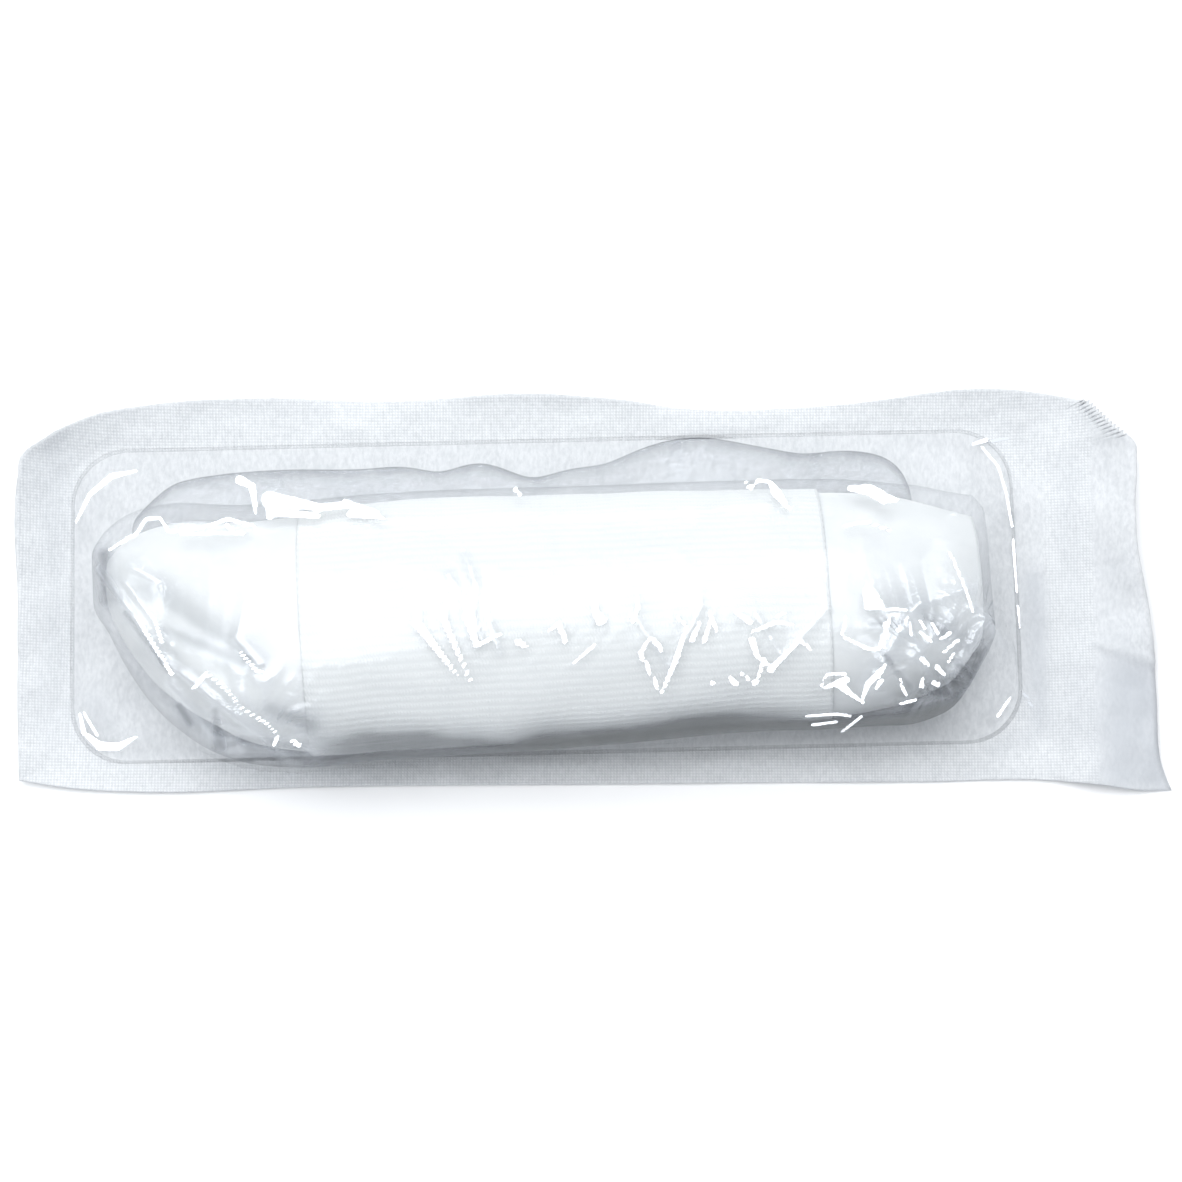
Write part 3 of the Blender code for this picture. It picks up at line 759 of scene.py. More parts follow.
@dataclass(frozen=True)
class PaperFinish:
    """Pale medical paper: cloudy fibres, painted shade on some fields, and a lattice of small dots where it is
    sealed.
    """

    low: tuple[float, float, float] = (0.56, 0.58, 0.60)
    high: tuple[float, float, float] = (0.80, 0.815, 0.83)
    shaded: tuple[float, float, float] = (0.47, 0.495, 0.53)
    dot_pitch: float = 0.85 * MM
    dot_turn: float = math.radians(45)
    cloud_scale: float = 90.0
    fibre_scales: tuple[float, float, float] = (1500.0, 700.0, 900.0)
    relief: float = 0.10 * MM

    def build(self) -> bpy.types.Material:
        """The material."""
        look = Look("paper")
        place = look.place()
        cloud = look.grain(place, self.cloud_scale, 3.0, 0.6)
        fibre = look.grain(look.stretched(place, self.fibre_scales), 1.0, 3.0, 0.7)
        turn = look.stretched(place, (1.0, 1.0, 1.0), self.dot_turn)
        wave = 2 * math.pi / self.dot_pitch
        along = (look.axis(turn, 0) * wave).math("COSINE")
        across = (look.axis(turn, 1) * wave).math("COSINE")
        dots = (along * across).between(-0.1, 0.5) * look.attribute("seal")
        tone = (cloud.between(0.3, 0.7) * 0.2 + fibre.between(0.35, 0.65) * 0.45 + dots * 0.55).clamped()
        # painted shade: the colour is drawn to the shaded colour where the mesh's shade attribute lies
        shade = look.mix(look.attribute("shade"), look.mix(tone, self.low, self.high), self.shaded)
        look.set(Base_Color=shade, Roughness=0.85)
        look.bump(fibre * 0.25 + dots * -1.0, self.relief, 0.6)
        return look.material


@dataclass(frozen=True)
class FilmFinish:
    """Clear film: it shows as a milky sheen, stronger at its outline and along its creases.

    Its mesh says where it is creased or folded, where it is the wrap's skirt or the pack's flange, where
    painted shade
    darkens it, and where a glint is painted: a paler, more opaque patch whose shading normal turns straight up
    to mirror the lamp. The glints' edges are ragged by two noises. Its outline, folds and skirt are darkened as
    painted shade.
    """

    name: str
    colour: tuple[float, float, float] = (0.84, 0.88, 0.93)
    edge_shade_colour: tuple[float, float, float] = (0.20, 0.22, 0.25)
    shadow: tuple[float, float, float] = (0.13, 0.14, 0.142)
    body: float = 0.05
    outline: float = 0.35
    thinness: float = 4.0
    crease: float = 0.10
    roughness: float = 0.12
    metal: float = 0.50
    # height of the crinkles in millimetres, and cells to a metre
    crinkle: float = 0.25
    crinkle_scale: float = 160.0
    ragged_scale: float = 700.0
    fleck_scale: float = 1600.0
    seal: float = 0.0

    def build(self) -> bpy.types.Material:
        """The material."""
        look = Look(self.name)
        place = look.place()
        facing = look.facing(0.5)
        edge = facing**self.thinness
        crease = look.attribute("crease")
        fold, skirt, flange, bunch = (look.attribute(name) for name in ("fold", "skirt", "flange", "bunch"))
        ragged = look.grain(place, self.ragged_scale, 2.0, 0.6) - 0.5
        fleck = look.grain(place, self.fleck_scale, 1.0, 0.5) - 0.5
        # painted highlight: where the glint attribute lies, the film turns paler and more opaque, and seen from
        # above its shading normal turns straight up so that it also mirrors the lamp
        glint = (look.attribute("glint") + ragged * 0.2 + fleck * 0.26).between(0.46, 0.56)
        seen_glint = glint * look.from_above()
        shown = edge * self.outline + crease * self.crease + self.body + fold * 0.2 + skirt * 0.06
        shown = shown + bunch * 0.8 + seen_glint * 0.6
        if self.seal:
            shown = shown + look.attribute("seal") * self.seal
        crinkle = look.grain(place, self.crinkle_scale, 4.0, 0.55)
        ridge = 1.0 - (crinkle - 0.5).math("ABSOLUTE") * 6.0
        # painted shade: the colour darkens to the edge shade colour at the outline, on folds and on the skirt,
        # and glints make it paler
        dark = (facing.between(0.60, 0.98) + fold * 0.8 + skirt * 0.35 + bunch * 1.8 - glint).clamped()
        sheen = look.mix(dark, self.colour, self.edge_shade_colour)
        # painted shade: where the mesh carries it, the film turns to the dark shadow colour, rough, not
        # metallic and nearly opaque
        shade = look.mix(bunch.between(0.3, 0.9), sheen, self.shadow)
        rough = flange * 0.45 + bunch * 0.5 + self.roughness
        metal = (1.0 - flange) * (1.0 - bunch) * self.metal
        look.set(Base_Color=shade, Roughness=rough, Metallic=metal, Alpha=shown.clamped())
        look.bump(ridge.clamped(), self.crinkle * MM, 0.35)
        look.flatten(seen_glint)
        return look.material


@dataclass(frozen=True)
class CrepeFinish:
    """White crepe bandage: crimped rows over fine threads, read from the piece's own width and length, with
    painted shade where the relief is low.
    """

    colour: tuple[float, float, float] = (0.725, 0.745, 0.75)
    hollow: tuple[float, float, float] = (0.65, 0.675, 0.68)
    row_pitch: float = 1.5 * MM
    thread_pitch: float = 0.62 * MM
    row_sway: float = 1.2 * MM
    thread_sway: float = 0.8 * MM
    relief: float = 0.10 * MM

    def build(self) -> bpy.types.Material:
        """The material."""
        look = Look("crepe")
        wide, long = look.attribute("wide"), look.attribute("long")
        place = look.place()
        sway = look.grain(place, 60.0, 2.0, 0.5) - 0.5
        rows = ((long + sway * self.row_sway) * (2 * math.pi / self.row_pitch)).math("SINE")
        threads = ((wide + sway * self.thread_sway) * (2 * math.pi / self.thread_pitch)).math("SINE")
        fine = (long * (4 * math.pi / self.row_pitch)).math("SINE")
        relief = rows * 0.5 + rows * threads * 0.30 + threads * 0.2 + fine * threads * 0.15
        # painted shade: the colour is darker where the relief is low
        hollow = relief.between(-0.9, 0.6)
        shade = look.mix(hollow, self.hollow, self.colour)
        look.set(Base_Color=shade, Roughness=0.92, Sheen_Weight=0.1)
        look.bump(relief, self.relief, 0.6)
        return look.material


@dataclass(frozen=True)
class PadFinish:
    """White nonwoven pad cloth: soft random mottling, painted darker as shade where its relief is low, and fine
    random fibres.
    """

    colour: tuple[float, float, float] = (0.725, 0.745, 0.75)
    hollow: tuple[float, float, float] = (0.665, 0.69, 0.70)
    cloud_scale: float = 120.0
    fibre_scale: float = 1900.0
    relief: float = 0.35 * MM

    def build(self) -> bpy.types.Material:
        """The material."""
        look = Look("pad_cloth")
        place = look.place()
        cloud = look.grain(place, self.cloud_scale, 3.0, 0.6)
        fibre = look.grain(place, self.fibre_scale, 3.0, 0.7)
        # random mottling that is also painted shade: the same cloud that lowers the relief darkens the colour
        shade = look.mix(cloud.between(0.3, 0.7), self.hollow, self.colour)
        look.set(Base_Color=shade, Roughness=0.95, Sheen_Weight=0.2)
        look.bump(cloud * 0.8 + fibre * 0.25, self.relief, 0.5)
        return look.material


@dataclass(frozen=True)
class FloorFinish:
    """Plain white studio floor."""

    def build(self) -> bpy.types.Material:
        """The material."""
        look = Look("floor")
        look.set(Base_Color=(0.96, 0.965, 0.97, 1), Roughness=0.95, Specular_IOR_Level=0.0)
        return look.material


def add_piece(
    name: str, points: Array, faces: list, finish: bpy.types.Material, numbers: dict[str, Array] | None = None
) -> bpy.types.Object:
    """A smooth-shaded mesh object with its place in its mesh.

    Args:
        name: the piece's name.
        points: any array whose last axis is x, y, z.
        faces: faces as point numbers.
        finish: its material.
        numbers: attributes, one number a point.

    Returns:
        The object, linked to the scene.
    """
    mesh = bpy.data.meshes.new(name)
    flat = np.asarray(points, float).reshape(-1, 3)
    mesh.from_pydata(flat.tolist(), [], faces)
    mesh.shade_smooth()
    mesh.materials.append(finish)
    for key, values in (numbers or {}).items():
        layer = mesh.attributes.new(key, "FLOAT", "POINT")
        layer.data.foreach_set("value", np.asarray(values, float).reshape(-1))
    made = bpy.data.objects.new(name, mesh)
    bpy.context.scene.collection.objects.link(made)
    return made


def carry(piece: bpy.types.Object, slot: Slot, *nodes: str) -> bpy.types.Object:
    """Ties a piece to the frame's body and hides the CAD nodes that it stands for."""
    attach(piece, BODY)
    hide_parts(*nodes)
    log.info("%s: %d faces, stands for %s", piece.name, len(piece.data.polygons), ", ".join(nodes))
    return piece


# The pieces


@dataclass
class Crumple:
    """How the films crinkle: fields of creases that grow towards the roll's ends, and single folds."""

    roll: Roll
    # share of the roll's length at each end that is creased more, and over which that fades
    end_share: float = 0.16
    end_fade: float = 0.14
    cell_along: float = 15 * MM
    cell_across: float = 11 * MM
    coarse_height: float = 0.5 * MM
    gathered_height: float = 1.1 * MM
    sharpest_fold: float = 1.2 * MM
    # gathered spot, folds all the way round, and their reach in millimetres
    gathers: tuple = (
        ((-62, -34), 26, 17),
        ((64, -19), 44, 17),
        ((72, -12), 40, 11),
    )
    # start x, start y, end x, end y, half width, height, all in millimetres
    folds: Table = (
        (-93, -2, -80, -20, 0.9, 1.1),
        (-80, -20, -60, -35, 0.7, 1.2),
        (-88, -5, -79, -17, 0.7, 0.9),
        (-87, -2, -66, -14, 0.9, 0.9),
        (-79, -24, -70, -35, 0.9, 0.9),
        (-66, -16, -62, -21, 1.2, 0.9),
        (-27, -4, -20, -17, 0.8, 0.8),
        (-24, 0, -17, -19, 0.7, 0.9),
        (8, -12, 15, -22, 0.6, 0.8),
        (22, -8, 15, -22, 0.6, 0.8),
        (31, -12, 36, -20, 0.6, 0.7),
        (46, -9, 36, -20, 0.7, 0.7),
        (52, -24, 62, -9, 1.3, 1.4),
        (56, -12, 72, -6, 1.0, 1.0),
        (60, -20, 68, -12, 0.8, 1.2),
        (64, -24, 58, -12, 0.7, 1.1),
        (68, -22, 74, -12, 0.9, 1.2),
        (72, -10, 79, -16, 1.0, 1.1),
    )

    def at(self, points: Array) -> tuple[Array, Array]:
        """Outward height and crease strength at points.

        Args:
            points: an array whose last axis is x, y, z.

        Returns:
            Height in metres, and 0 to 1 where the film is most creased.
        """
        x, y, z = points[..., 0], points[..., 1], points[..., 2]
        share = self.roll.share_of(points[..., :2])
        left, right = self.end_share - share, share - (1 - self.end_share)
        ends = np.clip(ease(left / self.end_fade) + ease(right / self.end_fade), 0, 1)
        across = y + 0.8 * z
        coarse = creases(x / self.cell_along, across / self.cell_across, Seed.CRINKLE)
        gathered = np.zeros_like(x)
        for number, (centre, count, size) in enumerate(self.gathers):
            fold = pleats(x, y, centre, count, size * MM, Seed.END if number % 2 else Seed.PAD)
            gathered = np.maximum(gathered, fold)
        lines = fold_lines(x, y, self.folds)
        height = self.coarse_height * (coarse - 0.2 + ends * (coarse - 0.8)) + self.gathered_height * gathered
        crease = 0.25 * coarse**2 + gathered**1.5 + lines / self.sharpest_fold
        return height + lines, np.clip(crease, 0, 1)


@dataclass
class PaperWeb:
    """The paper of the pack: flat under the cavity, waving at its edges, with a crease across the tab."""

    pack: Pack
    thickness: float = 0.35 * MM
    seal_end: float = 100.5 * MM
    # beside the cavity's right end, from and to which x and within which y the film lies loose on the paper
    loose_from: float = 85 * MM
    loose_to: float = 91.5 * MM
    loose_half: float = 25 * MM
    pucker: float = 0.45 * MM
    fine_pucker: float = 0.12 * MM
    edge_rise: float = 0.5 * MM
    spine_half: float = 75 * MM
    # start x, start y, end x, end y, half width, height, all in millimetres
    tab_folds: Table = (
        (101, -11.5, 114, -15.5, 0.9, 0.9),
        (103, -10, 113, -13, 3.5, 1.0),
        (101, -38, 101, -17, 7.0, 2.4),
        (115, -38, 114, -17, 6.5, -2.6),
        (106, -32, 108, -22, 1.6, 0.4),
        (110, -37, 111, -28, 1.3, 0.5),
        (103, 16, 107, 4, 3.0, 0.5),
    )
    # painted shade where the paper is shown darker, mostly on the tab and beside the cavity: start x, start y,
    # end x, end y and half width in millimetres, and a share in thousandths
    painted_shades: Table = (
        (104, -37, 104.5, -17, 4.6, 620), (112.5, -38, 110.5, -19, 4.4, 560), (104, 4, 104, -9, 3.2, 170),
        (88.6, 2, 89.2, -27, 2.6, 480), (-107, -28, -108, 30, 4.0, 240), (96, -28, 96, 24, 3.6, 220),
        (-99, -22, -97, -26, 3.0, 200), (86, -30, 80, -32, 2.0, 260),
    )
    rings: int = 22
    inner_rings: int = 26

    def flange(self) -> tuple[Array, Array]:
        """Rings of the flange's underside from the cut edge to the cavity, and each ring's share of the way."""
        edge, rim = self.pack.edge_loop(), self.pack.cavity_loop()
        t = np.linspace(0, 1, self.rings)[:, None]
        flat = edge[None, :, :2] * (1 - t[..., None]) + rim[None] * t[..., None]
        flat = flat + 0.7 * (self.pack.teeth()[None] * (1 - t) ** 12)[..., None]
        calm = smoothed(edge[None, :, 2:], 240)[0, :, 0]
        inside = ease(t / 0.25)
        height = (edge[None, :, 2] * (1 - inside) + calm[None] * inside) * (1 - t) ** 2
        return np.concatenate([flat, height[..., None]], 2), np.broadcast_to(t, height.shape)

    def seal_mask(self, rings: Array, t: Array) -> Array:
        """1 in the dotted seal: between the cut edge and the cavity, and not on the peel tab or beside it."""
        x, y = rings[..., 0], rings[..., 1]
        crisp, soft = 0.8 * MM, 6 * MM
        tab = ease((self.seal_end - x) / crisp)
        loose = ease((x - self.loose_from + 3 * MM) / (3 * MM)) * ease((self.loose_to - x) / crisp)
        loose = loose * ease((self.loose_half - np.abs(y)) / soft)
        return tab * (1 - loose) * ease(t / 0.05) * ease((1.02 - t) / 0.06)

    def ripple(self, rings: Array, t: Array) -> Array:
        """Small puckers of the sealed edge, strongest at the cut edge, and the tab's crease."""
        x, y = rings[..., 0], rings[..., 1]
        pucker = noise(x / (9 * MM), y / (7 * MM), Seed.WAVE) * self.pucker
        fine = noise(x / (3.1 * MM), y / (2.7 * MM), Seed.FINE) * self.fine_pucker
        tab = fold_lines(x, y, self.tab_folds)
        return (pucker + fine + self.edge_rise) * ease((1 - t) / 0.5) + tab

    def build(self) -> None:
        """Builds and dresses the paper."""
        rings, t = self.flange()
        rings[..., 2] = np.maximum(rings[..., 2] + self.ripple(rings, t), 0)
        seal = self.seal_mask(rings, t)
        s = np.linspace(0, 1, self.inner_rings + 1)[1:, None]
        spine = np.array(self.pack.roll_centre)
        rim = rings[-1, :, :2]
        along = np.clip(rim[:, 0], spine[0] - self.spine_half, spine[0] + self.spine_half)
        middle = np.stack([along, np.full(len(rim), spine[1])], 1)
        flat = rim[None] * (1 - s[..., None]) + middle[None] * s[..., None]
        flat = flat[:-1]
        inner = np.concatenate([flat, np.zeros((*flat.shape[:2], 1))], 2)
        every = np.concatenate([rings, inner])
        mask = np.concatenate([seal, np.zeros(inner.shape[:2])])
        # painted shade from the table, kept on the mesh as the shade attribute
        shade = np.clip(fold_lines(every[..., 0], every[..., 1], self.painted_shades), 0, 1)
        finish = PaperFinish().build()
        numbers = {"seal": mask, "shade": shade}
        paper = add_piece("paper_sheet", every, self.pack.ring_faces(len(every)), finish, numbers)
        wall = paper.modifiers.new("thickness", "SOLIDIFY")
        wall.thickness, wall.offset = self.thickness, 1
        carry(paper, Slot.PAPER, "paper_web")


@dataclass
class PackFilm:
    """The clear formed film: flange, stepped rim, and walls pulled over the wrapped roll."""

    pack: Pack
    form: WrapForm
    crumple: Crumple
    paper: PaperWeb
    clearance: float = 0.9 * MM
    step: float = 2.4 * MM
    above_paper: float = 0.55 * MM
    wall_rings: int = 92
    profile_steps: int = 73
    # how far the film stands out between the rim's corners and the roll's ends, and where those corners begin
    shoulder: float = 2.4 * MM
    corner_along: float = 74 * MM
    corner_across: float = 8 * MM
    # lowest height that crinkles, and the way over which they grow
    crinkle_from: float = 5 * MM
    crinkle_over: float = 10 * MM
    # the step's profile: shares of its height inwards and upwards
    rim: Table = ((-0.35, 0.02), (-0.15, 0.10), (0.0, 0.28), (0.10, 0.55), (0.18, 0.80), (0.26, 0.95))
    # painted highlights, as seen: where flecks of light lie close together, and single glints: start right,
    # start up, end right, end up, half width at the start, half width at the end, all in millimetres
    sparkle_share: float = 0.40
    sparkle: Table = (
        (60.0, -9.0, 70.0, -20.0, 5.0, 6.0), (-94.0, 11.0, -68.0, 13.0, 1.4, 1.4),
        (-58.0, -28.0, -44.0, -31.0, 1.8, 1.4), (-88.0, -8.0, -78.0, -20.0, 1.2, 1.4),
    )
    glints: Table = (
        (-103.0, 13.8, -100.2, 19.4, 0.26, 0.48), (-100.2, 19.4, -95.8, 23.0, 0.48, 0.64),
        (-95.8, 23.0, -91.0, 24.0, 0.64, 0.26), (-102.2, -24.6, -101.4, -28.4, 0.26, 0.52),
        (-101.4, -28.4, -98.2, -31.0, 0.40, 0.92), (-98.2, -31.0, -94.6, -31.2, 1.00, 0.84),
        (-94.6, -31.2, -91.0, -29.2, 0.84, 0.26), (-101.4, -24.4, -98.8, -28.8, 0.26, 0.32),
        (-96.4, 8.2, -91.0, 11.4, 0.26, 0.32), (-91.0, 11.4, -89.0, 14.4, 0.32, 0.40),
        (-89.0, 14.4, -86.2, 14.6, 0.40, 0.32), (-86.2, 14.6, -84.6, 12.2, 0.32, 0.26),
        (-84.6, 12.0, -78.2, 12.6, 0.26, 0.26), (-78.2, 12.6, -72.6, 14.4, 0.26, 0.40),
        (-72.6, 14.4, -67.4, 13.0, 0.40, 0.28), (-73.0, 13.4, -71.0, 11.4, 0.28, 0.26),
        (-82.2, 11.4, -69.4, 11.6, 0.26, 0.32), (-70.2, 22.2, -67.8, 21.0, 1.00, 0.60),
        (-67.8, 21.0, -67.0, 15.6, 0.80, 0.26), (-64.6, 19.4, -64.2, 15.0, 0.60, 0.80),
        (-64.2, 18.2, -55.0, 17.0, 1.80, 0.72), (-64.2, 15.8, -54.6, 15.0, 0.90, 0.50),
        (-55.0, 16.6, -48.2, 17.4, 0.84, 0.72), (-49.2, 17.6, -43.0, 15.4, 0.80, 0.80),
        (-48.2, 15.4, -41.4, 14.6, 0.70, 0.26), (31.0, 21.8, 31.8, 20.2, 0.26, 0.28),
        (31.8, 20.2, 33.4, 22.2, 0.26, 0.28), (33.4, 22.2, 35.8, 21.8, 0.32, 0.40),
        (35.8, 21.8, 37.0, 19.8, 0.40, 1.00), (37.0, 19.8, 39.8, 16.2, 1.00, 0.26),
        (51.8, 20.6, 55.8, 20.2, 0.60, 1.20), (55.8, 20.2, 58.6, 18.6, 1.20, 1.20),
        (58.6, 18.6, 61.4, 18.2, 1.20, 0.32), (-15.2, 20.4, -13.8, 18.8, 0.48, 0.26),
        (-35.0, -6.2, -26.6, -17.0, 0.90, 0.26), (-30.6, -3.0, -24.2, -17.8, 0.72, 0.26),
        (-24.6, -4.2, -23.0, -11.0, 1.40, 0.32), (-23.0, -11.0, -18.2, -8.6, 0.40, 0.32),
        (-14.6, -10.2, -13.0, -11.0, 0.64, 0.40), (-6.6, -6.2, -5.0, -10.2, 0.48, 0.52),
        (-3.4, -14.2, 0.6, -11.0, 0.26, 0.36), (-9.0, -8.2, -7.0, -7.0, 0.26, 0.26),
        (-0.2, -1.8, 1.8, -6.2, 0.40, 0.80), (1.0, -4.2, 2.6, -5.8, 0.60, 0.60),
        (9.8, -12.2, 11.8, -16.2, 0.48, 0.36), (11.8, -16.2, 14.0, -20.6, 0.40, 0.26),
        (14.0, -20.6, 17.0, -13.8, 0.26, 0.52), (17.0, -13.8, 19.2, -7.0, 0.56, 0.28),
        (10.0, -12.2, 12.0, -9.0, 0.40, 0.26), (19.2, -7.0, 17.0, -5.0, 0.26, 0.26),
        (20.2, -9.8, 21.8, -6.2, 0.56, 0.32), (22.6, -10.2, 24.2, -5.0, 0.44, 0.26),
        (25.0, -8.2, 23.8, -4.2, 0.36, 0.36), (8.2, -6.2, 9.8, -2.6, 0.44, 0.26),
        (12.6, -9.8, 14.2, -11.8, 0.48, 0.48), (29.0, -4.2, 31.8, -6.2, 0.40, 0.60),
        (29.8, -16.2, 33.0, -18.8, 0.26, 0.28), (33.0, -18.8, 34.6, -13.4, 0.32, 0.36),
        (32.2, -9.8, 33.4, -13.4, 0.68, 0.48), (34.6, -13.4, 36.2, -16.0, 0.32, 0.48),
        (35.8, -15.8, 41.8, -9.8, 0.56, 0.32), (41.8, -9.8, 44.2, -11.8, 0.36, 0.26),
        (32.2, -8.2, 37.0, -6.2, 0.26, 0.44), (37.0, -6.2, 40.2, -6.6, 0.44, 0.26),
        (37.4, -5.0, 39.0, -4.2, 0.28, 0.28), (24.0, -18.4, 24.6, -18.4, 0.44, 0.44),
        (27.6, -17.2, 29.0, -18.6, 0.40, 0.60), (45.8, -19.0, 47.4, -16.6, 0.26, 0.26),
        (47.4, -16.6, 51.0, -16.4, 0.26, 0.26), (46.6, -19.4, 51.0, -17.8, 0.26, 0.80),
        (49.8, -18.6, 51.4, -20.2, 1.00, 0.60), (51.4, -20.2, 54.6, -22.4, 0.52, 0.26),
        (54.2, -21.8, 55.4, -18.6, 0.28, 0.60), (55.4, -18.6, 57.8, -16.2, 0.60, 0.64),
        (57.8, -16.2, 59.0, -14.6, 0.52, 0.26), (57.0, -19.4, 58.2, -17.8, 0.32, 0.40),
        (51.0, -5.0, 50.2, -9.0, 0.26, 0.26), (50.2, -9.0, 55.0, -11.4, 0.26, 0.32),
        (55.0, -11.4, 57.8, -11.8, 0.32, 0.26), (57.8, -11.0, 59.8, -5.4, 0.26, 0.26),
        (55.0, -3.4, 63.0, -3.8, 0.26, 0.26), (59.0, -6.2, 58.6, -11.4, 0.26, 0.26),
        (70.6, -12.2, 73.4, -9.8, 0.26, 0.32), (65.8, -8.2, 68.2, -10.2, 0.26, 0.26),
        (71.4, -14.2, 72.6, -12.6, 0.26, 0.26), (61.8, -22.6, 65.0, -21.8, 0.26, 0.26),
        (63.0, -21.0, 61.8, -17.8, 0.26, 0.26), (50.6, 13.0, 55.0, 13.8, 0.26, 0.26),
        (55.0, 13.8, 59.8, 12.2, 0.26, 0.26), (71.8, 7.8, 75.0, 0.2, 0.26, 0.26),
        (75.0, 0.2, 76.4, -4.2, 0.26, 0.26), (43.0, -25.0, 49.4, -24.6, 0.26, 0.26),
        (44.2, -26.8, 49.0, -26.2, 0.26, 0.26), (49.4, -24.6, 51.8, -25.0, 0.26, 0.26),
        (50.2, -28.2, 54.2, -25.0, 0.26, 0.28), (76.4, 29.4, 79.0, 30.2, 0.28, 0.48),
        (80.2, 30.0, 83.4, 30.6, 0.32, 0.36), (78.2, 28.8, 81.4, 25.0, 0.26, 0.26),
        (81.4, 25.0, 83.0, 19.8, 0.26, 0.28), (83.0, 19.8, 84.2, 13.0, 0.28, 0.26),
        (84.4, 10.2, 85.2, -0.2, 0.26, 0.26), (85.4, -3.0, 85.8, -7.4, 0.26, 0.26),
        (81.4, -25.0, 83.8, -21.4, 0.36, 0.26), (86.4, -20.2, 88.2, -23.0, 0.26, 0.36),
        (-90.7, -5.8, -83.8, -16.7, 0.26, 0.40), (-87.8, -4.4, -85.7, -10.2, 0.26, 0.26),
        (-79.5, -19.5, -77.4, -17.0, 0.26, 0.50), (-77.0, -16.3, -72.3, -20.3, 0.26, 0.26),
        (-72.3, -20.3, -70.1, -23.2, 0.26, 0.26), (-70.1, -23.2, -64.0, -27.1, 0.26, 0.30),
        (-63.7, -27.5, -62.6, -29.3, 0.26, 0.36), (-62.6, -29.3, -63.6, -31.0, 0.36, 0.26),
        (-60.1, -29.6, -58.6, -30.8, 0.30, 0.60), (-70.1, -12.3, -66.9, -15.9, 0.26, 0.36),
        (-66.9, -15.9, -64.7, -16.7, 0.36, 0.26), (58.6, -6.7, 59.4, -9.1, 0.26, 0.30),
        (61.4, -7.9, 63.4, -5.3, 0.20, 0.30), (63.8, -6.5, 64.1, -8.9, 0.30, 0.20),
        (65.8, -5.9, 66.8, -7.5, 0.26, 0.20), (68.2, -6.4, 69.4, -8.5, 0.20, 0.32),
        (69.8, -9.7, 71.8, -8.4, 0.20, 0.40), (66.2, -13.6, 67.4, -14.7, 0.50, 0.24),
        (69.2, -15.2, 70.6, -16.7, 0.50, 0.24), (66.4, -17.6, 66.0, -18.9, 0.24, 0.50),
        (68.2, -18.3, 69.4, -18.7, 0.24, 0.55),
    )

    def taut(self, start: tuple[float, float], reach: Array, height: Array) -> tuple[Array, Array]:
        """Film pulled tight from its start over a profile: the upper hull of both.

        Args:
            start: reach and height of the film's foot.
            reach: the profile's reaches, from low to high.
            height: the profile's heights.

        Returns:
            Reaches and heights at even steps along the film.
        """
        line, at, current = [start], -1, start
        while at < len(reach) - 1:
            rise = np.arctan2(height[at + 1 :] - current[1], current[0] - reach[at + 1 :])
            at = at + 1 + int(np.argmax(rise))
            current = (reach[at], height[at])
            line.append(current)
        hull = np.array(line)
        way = np.concatenate([[0], np.cumsum(np.linalg.norm(np.diff(hull, axis=0), axis=1))])
        wanted = np.linspace(0, way[-1], self.wall_rings)
        return np.interp(wanted, way, hull[:, 0]), np.interp(wanted, way, hull[:, 1])

    def walls(self) -> Array:
        """Rings from the step's top to the top of the roll."""
        angles = np.radians(np.linspace(-60, 84, self.profile_steps))
        reach, height = self.form.profile(angles)
        out = np.maximum(np.cos(angles), self.form.lobe(angles))[:, None]
        reach, height = reach + self.clearance * out, height + self.clearance * np.sin(angles)[:, None]
        foot = self.form.rim_reach - 0.3 * self.step
        columns = []
        for i in range(self.pack.loop):
            start = (foot[i], self.above_paper + self.step)
            above = height[:, i] > start[1]
            columns.append(self.taut(start, reach[above, i], height[above, i]))
        dome = np.array(columns)
        return self.form.points(dome[:, 0].T, dome[:, 1].T)

    def build(self) -> None:
        """Builds and dresses the film."""
        flange, t = self.paper.flange()
        flange[..., 2] = np.maximum(flange[..., 2] + self.paper.ripple(flange, t), 0)
        seal = self.paper.seal_mask(flange, t)
        flange = flange + ring_normals(flange) * self.above_paper
        rim = np.array(self.rim)
        inward = self.form.rim_reach[None] - rim[:, :1] * self.step
        height = self.above_paper + rim[:, 1:] * self.step + 0 * inward
        walls = smoothed(self.walls(), 8)
        along = np.linspace(0, 1, self.wall_rings)[:, None]
        rim_line = self.pack.cavity_loop() - np.array(self.pack.cavity_centre)
        corner = ease((np.abs(rim_line[:, 0]) - self.corner_along) / (14 * MM))
        corner = corner * ease((np.abs(rim_line[:, 1]) - self.corner_across) / (12 * MM))
        shoulder = np.sin(math.pi * np.clip(along / 0.7, 0, 1)) ** 1.5 * corner
        walls = walls + ring_normals(walls) * (self.shoulder * shoulder)[..., None]
        push, crease = self.crumple.at(walls)
        high = ease((walls[..., 2] - self.crinkle_from) / self.crinkle_over)
        walls = walls + ring_normals(walls) * (0.35 * push * high)[..., None]
        every = np.concatenate([flange, self.form.points(inward, height), walls])
        zero = np.zeros((len(rim), self.pack.loop))
        seen = as_seen(every)
        # painted highlights: the glints and sparkle tables, kept on the mesh as the glint attribute
        glints, sparkle = streaks(*seen, self.glints), streaks(*seen, self.sparkle)
        numbers = {
            "seal": np.concatenate([seal, zero, 0 * crease]),
            "crease": np.concatenate([0 * seal, zero + 0.1, crease * high]),
            "flange": np.concatenate([1 + 0 * seal, zero, 0 * crease]),
            "glint": np.maximum(glints, self.sparkle_share * sparkle),
        }
        finish = FilmFinish("pack_film", body=0.02, outline=0.10, crease=0.10, seal=0.05, crinkle=0.10)
        film = add_piece("formed_film", every, self.pack.ring_faces(len(every)), finish.build(), numbers)
        carry(film, Slot.FILM, "pack_film")


